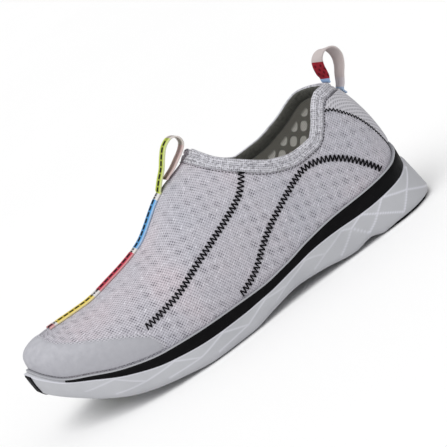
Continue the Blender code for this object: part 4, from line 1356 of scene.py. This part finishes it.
def build_binding():
    frames = collar_edge()
    frames.append(frames[0])
    rows = len(BINDING)
    points, cloth = [], []
    lengths = arc_lengths([at for at, _, _ in frames])
    section = [Vector((spot.n * BINDING_RIB, spot.u * BINDING_HEIGHT, 0.0)) for spot in BINDING]
    girth = arc_lengths(section + [section[0]])
    drops = [BINDING_DROP * max(0.0, 1 - (THROAT_X - at.x) / THROAT_TURN) for at, _, _ in frames]
    for (at, out, up), length, drop in zip(frames, lengths, drops):
        for spot, v in zip(BINDING, girth):
            rise = spot.u * BINDING_HEIGHT - (drop if spot.u < BINDING_FOOT else 0.0)
            points.append(at + out * spot.n * BINDING_RIB + up * rise)
            cloth.append((length, v))
    faces = []
    for i in range(len(frames) - 1):
        for j in range(rows):
            k = (j + 1) % rows
            faces.append((i * rows + j, i * rows + k, (i + 1) * rows + k, (i + 1) * rows + j))
    finish = knit_finish("binding_knit", (0.74, 0.735, 0.79), (0.15, 0.145, 0.17), 1.3, 0.0005)
    inner = knit_finish("binding_lining", (0.115, 0.115, 0.100), (0.05, 0.05, 0.043))
    slots = [1 if j in INNER_BINDING else 0 for _ in range(len(frames) - 1) for j in range(rows)]
    maps = {"cloth": cloth}
    made = piece("binding_knit", points, faces, [finish, inner], maps, face_slots=slots)
    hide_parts("collar_binding")
    seats = zip(frames[:-1], drops)
    line = [at - up * (SEAM_DROP + drop) + out * SEAM_LIFT for (at, out, up), drop in seats]
    dark = thread_finish("seam_thread", (0.030, 0.028, 0.032))
    running_line("binding_seam", line + [line[0]], 0.36 * MM, 2.2, 0.66, dark)


def build_band(name, sections, finish, lift, node):
    """Webbing over (point, normal) sections, with a map in millimetres along and across."""
    lengths = arc_lengths([section[len(section) // 2][0] for section in sections])
    points, cloth = [], []
    for section, length in zip(sections, lengths):
        across = arc_lengths([at for at, _ in section])
        middle = across[-1] / 2
        spots = list(zip(section, across))
        for (at, normal), v in spots:
            points.append(at + normal * lift)
            cloth.append((length, v - middle))
        for (at, normal), v in reversed(spots):
            points.append(at + normal * (lift + TAPE_THICKNESS))
            cloth.append((length, v - middle))
    faces = strip_faces(len(sections), len(section) * 2)
    made = piece(name, points, faces, [finish], {"cloth": cloth})
    soft = made.modifiers.new("edge", "BEVEL")
    soft.width = 0.25 * MM
    soft.segments = 2
    soft.limit_method = "ANGLE"
    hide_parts(node)
    return made


def vamp_sections():
    front, back = x_of(TAPE_FRONT), x_of(TAPE_BACK)
    count = 70
    xs = [front + (back - front) * i / count for i in range(count + 1)]
    sections = [crest_section(x) for x in xs]
    foot = wall_point(LATERAL, xs[-1], 1.0)
    spots = [foot + Vector((p.x, 0.0, p.z)) * LOOP_HEIGHT for p in THROAT_LOOP]
    path = curve_through([foot] + spots, 8)[1:]
    return sections + band_sections(path, TAPE_WIDTH, lambda i: 0.0)


# Ridges moulded on the sole's side. x0 and x1 are shares of LAST_LENGTH. w0 and w1 go from the shoulder
# under the stripe (0) to the lower edge (1). height is in millimetres.
Ridge = namedtuple("Ridge", "x0 w0 x1 w1 height")
RIDGES = (
    Ridge(0.118, -0.05, 0.058, 0.42, 0.55),
    Ridge(0.058, 0.42, 0.012, 1.00, 0.45),
    Ridge(0.018, -0.05, 0.058, 0.42, 0.50),
    Ridge(0.058, 0.42, 0.094, 1.05, 0.55),
    Ridge(0.186, -0.05, 0.150, 0.35, 0.50),
    Ridge(0.150, 0.35, 0.094, 1.00, 0.50),
    Ridge(0.118, -0.05, 0.150, 0.35, 0.50),
    Ridge(0.150, 0.35, 0.192, 1.05, 0.45),
    Ridge(0.245, 0.05, 0.222, 0.24, 0.35),
    Ridge(0.222, 0.24, 0.192, 1.00, 0.30),
    Ridge(0.186, -0.05, 0.222, 0.24, 0.40),
    Ridge(0.222, 0.24, 0.275, 1.00, 0.30),
    Ridge(0.245, 0.05, 0.310, 0.55, 0.20),
    Ridge(0.310, 0.55, 0.360, 0.05, 0.20),
    Ridge(0.310, 0.55, 0.350, 1.00, 0.18),
    Ridge(0.360, 0.05, 0.430, 0.60, 0.18),
    Ridge(0.430, 0.60, 0.490, 0.05, 0.18),
    Ridge(0.430, 0.60, 0.470, 1.00, 0.16),
    Ridge(0.490, 0.05, 0.560, 0.70, 0.25),
    Ridge(0.560, 0.70, 0.620, 0.00, 0.28),
    Ridge(0.560, 0.70, 0.650, 1.00, 0.25),
    Ridge(0.620, 0.00, 0.690, 0.65, 0.28),
    Ridge(0.690, 0.65, 0.745, 0.00, 0.28),
    Ridge(0.690, 0.65, 0.770, 1.00, 0.25),
    Ridge(0.745, 0.00, 0.815, 0.60, 0.25),
    Ridge(0.815, 0.60, 0.870, 0.00, 0.25),
    Ridge(0.815, 0.60, 0.880, 1.00, 0.22),
    Ridge(0.870, 0.00, 0.930, 0.70, 0.20),
)
RIDGE_WIDTH = 0.8  # millimetres, half the crisp ridge's foot
SLOPE_WIDTH = 6.0  # millimetres, half the foot of the broad slope that makes the facets beside it


RIDGE_REACH = 0.024  # how far a ridge's slope reaches past its ends, as a share of LAST_LENGTH


def ridge_at(share, w, tall):
    """(height in millimetres, painted highlight on the crest) of the moulded ridges on the side, which is
    tall mm high there.
    """
    best, painted_highlight = 0.0, 0.0
    for row in RIDGES:
        if not min(row.x0, row.x1) - RIDGE_REACH <= share <= max(row.x0, row.x1) + RIDGE_REACH:
            continue
        run = LAST_LENGTH / MM
        ax, ay, bx, by = row.x0 * run, row.w0 * tall, row.x1 * run, row.w1 * tall
        px, py = share * run, w * tall
        dx, dy = bx - ax, by - ay
        t = min(max(((px - ax) * dx + (py - ay) * dy) / (dx * dx + dy * dy), 0.0), 1.0)
        away = math.hypot(px - ax - dx * t, py - ay - dy * t)
        crisp = max(0.0, 1 - away / RIDGE_WIDTH)
        slope = max(0.0, 1 - away / SLOPE_WIDTH)
        best = max(best, row.height * (0.45 * crisp + 0.85 * slope))
        # Painted highlight along a ridge's crisp crest.
        painted_highlight = max(painted_highlight, min(1.0, row.height / 0.5) * crisp)
    return best, painted_highlight


SIDE_ROWS = 44  # from the shoulder down to the lower edge
RIDGES_END = 0.985  # share of LAST_LENGTH where the ridges end
RIDGES_FADE = 12.0  # how fast they fade out towards there

# The rounded lower edge, in shares of EDGE_ROUND: offset from the flare and height above the underside
EDGE_CURVE = ((-0.03, 1.15), (-0.16, 0.75), (-0.45, 0.42), (-0.80, 0.22), (-1.30, 0.08), (-2.0, 0.0))


def fine_columns():
    """The columns of the sole, with one more between each two."""
    xs = []
    for a, b in zip(STATIONS, STATIONS[1:]):
        xs += [a, (a + b) / 2]
    xs.append(STATIONS[-1])
    return [(LATERAL, x) for x in xs] + [(MEDIAL, x) for x in reversed(xs[1:-1])], len(xs) - 1


def fine_sole_profile(side, x):
    """(offset, height, painted light) from the deck's edge over the rim and down to the underside: painted
    shade below 0, painted highlight above.
    """
    rim, under, flare, depth, groove_top, groove_low, shoulder, low, edge, side_top = sole_levels(side, x)
    soft = 0.4 * MM
    # Third numbers: painted shade along the rim's lip beside the upper, painted highlight on the groove's
    # lower edge.
    spots = [
        (GAP, deck_height(x), 0.0),
        (GAP, rim - soft, 0.0),
        (GAP + soft, rim, -1.0),
        (RIM_WALL - soft, rim, -0.5),
        (RIM_WALL, rim - soft, -0.3),
        (RIM_WALL, groove_top + soft / 2, -0.5),
        (RIM_WALL - soft / 2, groove_top, 0.0),
        (RIM_WALL - depth, groove_top, 0.0),
        (RIM_WALL - depth, groove_low, 0.0),
        (edge - soft, groove_low, 0.5),
        (edge, groove_low - soft / 2, 0.8),
    ]
    tall = (shoulder - low) / MM
    fade = min(max((RIDGES_END - share_of(x)) * RIDGES_FADE, 0.0), 1.0)
    for j in range(SIDE_ROWS + 1):
        w = j / SIDE_ROWS
        bow = math.sin(math.pi * w) * 0.35 * MM
        rise, painted_light = ridge_at(share_of(x), w, tall)
        offset = side_top + (flare - side_top) * w + bow + rise * MM * fade
        spots.append((offset, shoulder + (low - shoulder) * w, painted_light * fade))
    return spots + [(flare + EDGE_ROUND * out, under + EDGE_ROUND * up, 0.0) for out, up in EDGE_CURVE]


def build_sole():
    points, values = [], []
    columns, last = fine_columns()
    sections = [fine_sole_profile(side, x) for side, x in columns]
    rows = len(sections[0])
    for (side, x), section in zip(columns, sections):
        for offset, height, painted_light in section:
            points.append(sole_point(side, x, offset, height))
            values.append(painted_light)
    faces = []
    for i in range(len(columns)):
        m = (i + 1) % len(columns)
        for j in range(rows - 1):
            faces.append((i * rows + j, i * rows + j + 1, m * rows + j + 1, m * rows + j))
    for row in (0, rows - 1):
        for i in range(last):
            corners = [
                i * rows + row,
                (i + 1) * rows + row,
                (-(i + 1) % len(columns)) * rows + row,
                (-i % len(columns)) * rows + row,
            ]
            faces.append(tuple(dict.fromkeys(corners)))
    # The ridge attribute carries the painted light: highlights above 0, shade below.
    made = piece("sole_foam", points, faces, [foam_finish()], None, {"ridge": values}, angle=35)
    for tool in sole_tools():
        modifier = made.modifiers.new("cut_" + tool.name, "BOOLEAN")
        modifier.operation = "DIFFERENCE"
        modifier.object = tool
        bpy.context.view_layer.objects.active = made
        bpy.ops.object.modifier_apply(modifier=modifier.name)
        bpy.data.objects.remove(tool)
    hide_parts("sole")


def tool_from(name, points, faces):
    mesh = shoe_mesh(name, points, faces)
    shape = bmesh.new()
    shape.from_mesh(mesh)
    bmesh.ops.recalc_face_normals(shape, faces=shape.faces)
    shape.to_mesh(mesh)
    shape.free()
    return add_object(name, mesh)


def hole_spots():
    """(x, y, half length, half width, depth) of each recess in the underside."""
    spots = []
    for row in HOLE_ROWS:
        for i in range(row.count):
            t = i / max(row.count - 1, 1)
            x = x_of(row.x0 + (row.x1 - row.x0) * t)
            y = (row.y0 + (row.y1 - row.y0) * t) * BALL_WIDTH
            length = (row.length0 + (row.length1 - row.length0) * t) * BALL_WIDTH / 2 * HOLE_SCALE
            width = row.width * BALL_WIDTH / 2 * (0.6 + 0.4 * length / (0.055 * BALL_WIDTH))
            spots.append((x, y, length, width, row.depth * HOLE_DEPTH))
    return spots


def sole_tools():
    """Cutters for the recesses and for the rubber bars and pad that lie in the underside."""
    tools = []
    points, faces = [], []
    count = 14
    for x, y, length, width, depth in hole_spots():
        start = len(points)
        for shrink, level in ((1.06, -CUT_REACH), (1.0, 0.35 * depth), (0.86, 0.8 * depth), (0.66, depth)):
            for k in range(count):
                angle = 2 * math.pi * k / count
                at = x + math.cos(angle) * length * shrink
                across = math.sin(angle) * width * shrink
                points.append(Vector((at, y + across, floor_height(at) + level)))
        faces += rod_faces(start, 4, count)
    pad, sections = pad_points(GAP, TREAD_DEPTH)
    tools.append(tool_from("recess_heel_pad", pad, strip_faces(sections, 4)))
    tools.append(tool_from("recess_holes", points, faces))
    names = list(dict.fromkeys(row.bar for row in BARS))
    for name in names:
        spots = [row for row in BARS if row.bar == name]
        bar, sections = bar_points(spots, GAP, TREAD_DEPTH - (SPINE_STEP if name == "spine" else 0.0))
        tools.append(tool_from("recess_" + name, bar, strip_faces(sections, 4)))
    return tools


def bar_points(spots, grow, depth):
    plan = []
    for k in range(len(spots) - 1):
        a, b = spots[k], spots[k + 1]
        steps = max(2, round((b.x - a.x) * LAST_LENGTH / BAR_STEP) if b.x > a.x else 6)
        plan += [tuple(u + (w - u) * i / steps for u, w in zip(a[1:], b[1:])) for i in range(steps)]
    plan.append(spots[-1][1:])
    middle = [Vector((x_of(x), y * BALL_WIDTH, 0.0)) for x, y, _ in plan]
    points = []
    for i, at in enumerate(middle):
        along = heading(middle, i)
        across = Vector((-along.y, along.x, 0.0)) * (plan[i][2] * BALL_WIDTH / 2 + grow)
        reach = along * grow * (-1 if i == 0 else 1 if i == len(middle) - 1 else 0)
        for side, level in ((1, -CUT_REACH), (1, depth), (-1, depth), (-1, -CUT_REACH)):
            point = at + reach + across * side
            points.append(Vector((point.x, point.y, floor_height(at.x) + level)))
    return points, len(middle)


def pad_points(grow, depth):
    spots = [(MEDIAL, x_of(q * q)) for q in (0.13, 0.08, 0.04)]
    spots += [(LATERAL, x_of(q * q)) for q in (0.0, 0.05, 0.10, 0.16, 0.23, 0.31, 0.38)]
    points = []
    for i, (side, x) in enumerate(spots):
        taper = math.sin(math.pi * (i + 1.2) / (len(spots) + 1.4))
        edge = side_value("flare", x) * SOLE_FLARE - EDGE_ROUND * 2.0
        outer = edge + EDGE_ROUND * 1.35 * min(taper * 1.8, 1.0) + CUT_REACH
        inner = edge - PAD_WIDTH * taper - grow
        for offset, level in ((outer, -CUT_REACH), (outer, depth), (inner, depth), (inner, -CUT_REACH)):
            points.append(sole_point(side, x, offset, level))
    return points, len(spots)


NET_SHARE = 0.72  # a net's length and width as a share of its recess's


def build_nets():
    """Lime net at the bottom of the larger recesses under the forefoot."""
    points, faces = [], []
    count = 18
    for x, y, length, width, depth in hole_spots():
        if share_of(x) < 0.60:
            continue
        start = len(points)
        for level in (depth - 0.25 * MM, depth - 0.05 * MM):
            for k in range(count):
                angle = 2 * math.pi * k / count
                at = x + math.cos(angle) * length * NET_SHARE
                across = math.sin(angle) * width * NET_SHARE
                points.append(Vector((at, y + across, floor_height(at) + level)))
        faces += rod_faces(start, 2, count)
    piece("recess_nets", points, faces, [net_finish()])


def build_stripe():
    end = x_of(STRIPE_END)
    lateral = [(LATERAL, x) for x in STATIONS if x < end]
    medial = [(MEDIAL, x) for x in STATIONS[1:] if x < end]
    points = []
    rows = 8
    for side, x in list(reversed(lateral)) + medial:
        height, depth = stripe_size(x)
        top = rim_height(side, x) - LIP_HEIGHT - GAP / 3
        low = top - height + GAP * 2 / 3
        inner = RIM_WALL - depth + GAP / 2
        outer = RIM_WALL + STRIPE_PROUD
        soft = min(0.35 * MM, height / 4)
        crown = 0.15 * MM
        for offset, level in (
            (inner, top),
            (inner, low),
            (outer - soft, low),
            (outer, low + soft),
            (outer + crown, (low * 2 + top) / 3),
            (outer + crown, (low + top * 2) / 3),
            (outer, top - soft),
            (outer - soft, top),
        ):
            points.append(sole_point(side, x, offset, level))
    made = piece(
        "stripe_rubber", points, strip_faces(len(points) // rows, rows), [rubber_finish()]
    )
    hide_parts("rand_stripe")


# Shells over the toe bars. first and last are shares of LAST_LENGTH at their lower end, and the upper end
# lies farther forward by slant.
ToeBar = namedtuple("ToeBar", "node side first last slant")
TOE_BARS = (
    ToeBar("toe_bar_lateral", LATERAL, 0.9945, 0.9982, 0.0016),
    ToeBar("toe_bar_medial", MEDIAL, 0.9640, 0.9860, 0.0060),
)
BAR_COLUMNS = 12
BAR_ROWS = 18
BAR_LIFT = 0.3 * MM
BAR_THICKNESS = 0.8 * MM


def toe_bar_spot(bar, share, t):
    """(point, normal) on the sole's side: t is 0 at the groove's lower edge and 1 at the underside."""
    x = x_of(share + bar.slant * (1 - t))
    key = side_profile(bar.side, x)
    place = t * (len(key) - 1)
    i = min(int(place), len(key) - 2)
    (offset, height), (next_offset, next_height) = key[i], key[i + 1]
    run, fall = next_offset - offset, height - next_height
    normal = plan_normal(bar.side, x) * fall + Vector((0, 0, run))
    part = place - i
    return sole_point(bar.side, x, offset + run * part, height - fall * part), normal.normalized()


def build_toe_bars():
    for bar in TOE_BARS:
        grid, maps, border = [], [], []
        for k in range(BAR_COLUMNS + 1):
            share = bar.first + (bar.last - bar.first) * k / BAR_COLUMNS
            inset = min(k, BAR_COLUMNS - k)
            grid.append([toe_bar_spot(bar, share, row / BAR_ROWS) for row in range(BAR_ROWS + 1)])
            maps.append([(float(k), float(row)) for row in range(BAR_ROWS + 1)])
            depths = [min(inset, row, BAR_ROWS - row) for row in range(BAR_ROWS + 1)]
            border.append([min(1.0, depth / 1.5 + 0.35) for depth in depths])
        name = bar.node + "_rubber"
        finish = rubber_finish(name, 0.008)
        overlay(name, grid, maps, border, finish, BAR_LIFT, BAR_THICKNESS, bar.node)


def carry_over(node, finish):
    """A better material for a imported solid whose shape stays."""
    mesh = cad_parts[node].data
    mesh.materials.clear()
    mesh.materials.append(finish)


UPPER = build_upper()
bpy.context.view_layer.update()
SURFACE = BVHTree.FromPolygons(
    [v.co.copy() for v in UPPER.data.vertices], [tuple(p.vertices) for p in UPPER.data.polygons]
)
VAMP = vamp_sections()
HEEL = heel_loop_sections(8)
VAMP_LENGTH = arc_lengths([section[2][0] for section in VAMP])[-1]
HEEL_LOOP_LENGTH = arc_lengths([section[2][0] for section in HEEL])[-1]

build_toe_cap()
TAB_EDGES = build_heel_tab()
build_binding()
build_band("vamp_webbing", VAMP, tape_finish(), 0.15 * MM, "vamp_tape")
build_band("heel_webbing", HEEL, heel_loop_finish(), 0.0, "heel_loop")
BLACK_THREAD = thread_finish("black_thread", (0.004, 0.0035, 0.005))
TAB_SEAMS = list(TAB_EDGES.values())
zigzag("side_seams", SEAMS, SURFACE, width=4.8 * MM, pitch=3.0, radius=0.50 * MM, finish=BLACK_THREAD)
zigzag("tab_seams", TAB_SEAMS, SURFACE, width=2.3 * MM, pitch=2.6, radius=0.38 * MM, finish=BLACK_THREAD)
build_sole()
build_nets()
build_stripe()
build_toe_bars()
carry_over("forefoot_bars", rubber_finish("bar_rubber", 0.010))
carry_over("heel_pad", rubber_finish("pad_rubber", 0.008))
carry_over("arch_badge", badge_finish())
carry_over("insole", board_finish())

# Floor, light and camera
FLOOR = bpy.data.meshes.new("floor")
FLOOR.from_pydata([(-6, -6, 0), (6, -6, 0), (6, 6, 0), (-6, 6, 0)], [], [(0, 1, 2, 3)])
GROUND = add_object("floor", FLOOR)
GROUND.location.z = -0.0002
PAPER = Finish("floor_paper", (0.92, 0.92, 0.92), 0.9)
PAPER.colour(PAPER.mottle(0.6, (0.915, 0.915, 0.915), (0.93, 0.93, 0.93)))
FLOOR.materials.append(PAPER.material)

WORLD = bpy.data.worlds.new("studio")
WORLD.use_nodes = True
WORLD.node_tree.nodes["Background"].inputs["Color"].default_value = (1.0, 1.0, 1.0, 1.0)
WORLD.node_tree.nodes["Background"].inputs["Strength"].default_value = 0.62
bpy.context.scene.world = WORLD
bpy.context.scene.view_settings.view_transform = "Standard"

SUN = bpy.data.lights.new("key", "SUN")
SUN.energy = 1.75
SUN.angle = math.radians(50)
SUN_TRAVEL = Vector((-0.55, -0.45, -1.2))
KEY = add_object("key", SUN)
KEY.rotation_euler = SUN_TRAVEL.to_track_quat("-Z", "Y").to_euler()

# The photo's view of the shoe: directions in degrees, distances in metres
VIEW_TURN = math.radians(13.75)
VIEW_RISE = math.radians(14.415)
VIEW_ROLL = math.radians(31.327)
VIEW_TARGET = Vector((0.113, 0.0, 0.050))
VIEW_DISTANCE = 1.25
VIEW_LENS = 155.0
VIEW_RIGHT = 0.0095
VIEW_UP = 0.0155

FLAT = math.cos(VIEW_RISE)
BACK = Vector((math.sin(VIEW_TURN) * FLAT, math.cos(VIEW_TURN) * FLAT, math.sin(VIEW_RISE)))
LEVEL = Vector((-math.cos(VIEW_TURN), math.sin(VIEW_TURN), 0.0))
RISE = BACK.cross(LEVEL)
RIGHT = LEVEL * math.cos(VIEW_ROLL) - RISE * math.sin(VIEW_ROLL)
UP = LEVEL * math.sin(VIEW_ROLL) + RISE * math.cos(VIEW_ROLL)
EYE = VIEW_TARGET + BACK * VIEW_DISTANCE
LOOK = (VIEW_TARGET + RIGHT * VIEW_RIGHT + UP * VIEW_UP - EYE).normalized()
CAMERA_X = LOOK.cross(UP).normalized()
CAMERA_Y = CAMERA_X.cross(LOOK)
LENS = bpy.data.cameras.new("camera")
LENS.lens = VIEW_LENS
LENS.sensor_width = 36.0
LENS.clip_start = 0.05
CAMERA = add_object("camera", LENS)
CAMERA.matrix_world = Matrix((
    (CAMERA_X.x, CAMERA_Y.x, -LOOK.x, EYE.x),
    (CAMERA_X.y, CAMERA_Y.y, -LOOK.y, EYE.y),
    (CAMERA_X.z, CAMERA_Y.z, -LOOK.z, EYE.z),
    (0.0, 0.0, 0.0, 1.0),
))
bpy.context.scene.camera = CAMERA

bpy.context.view_layer.update()
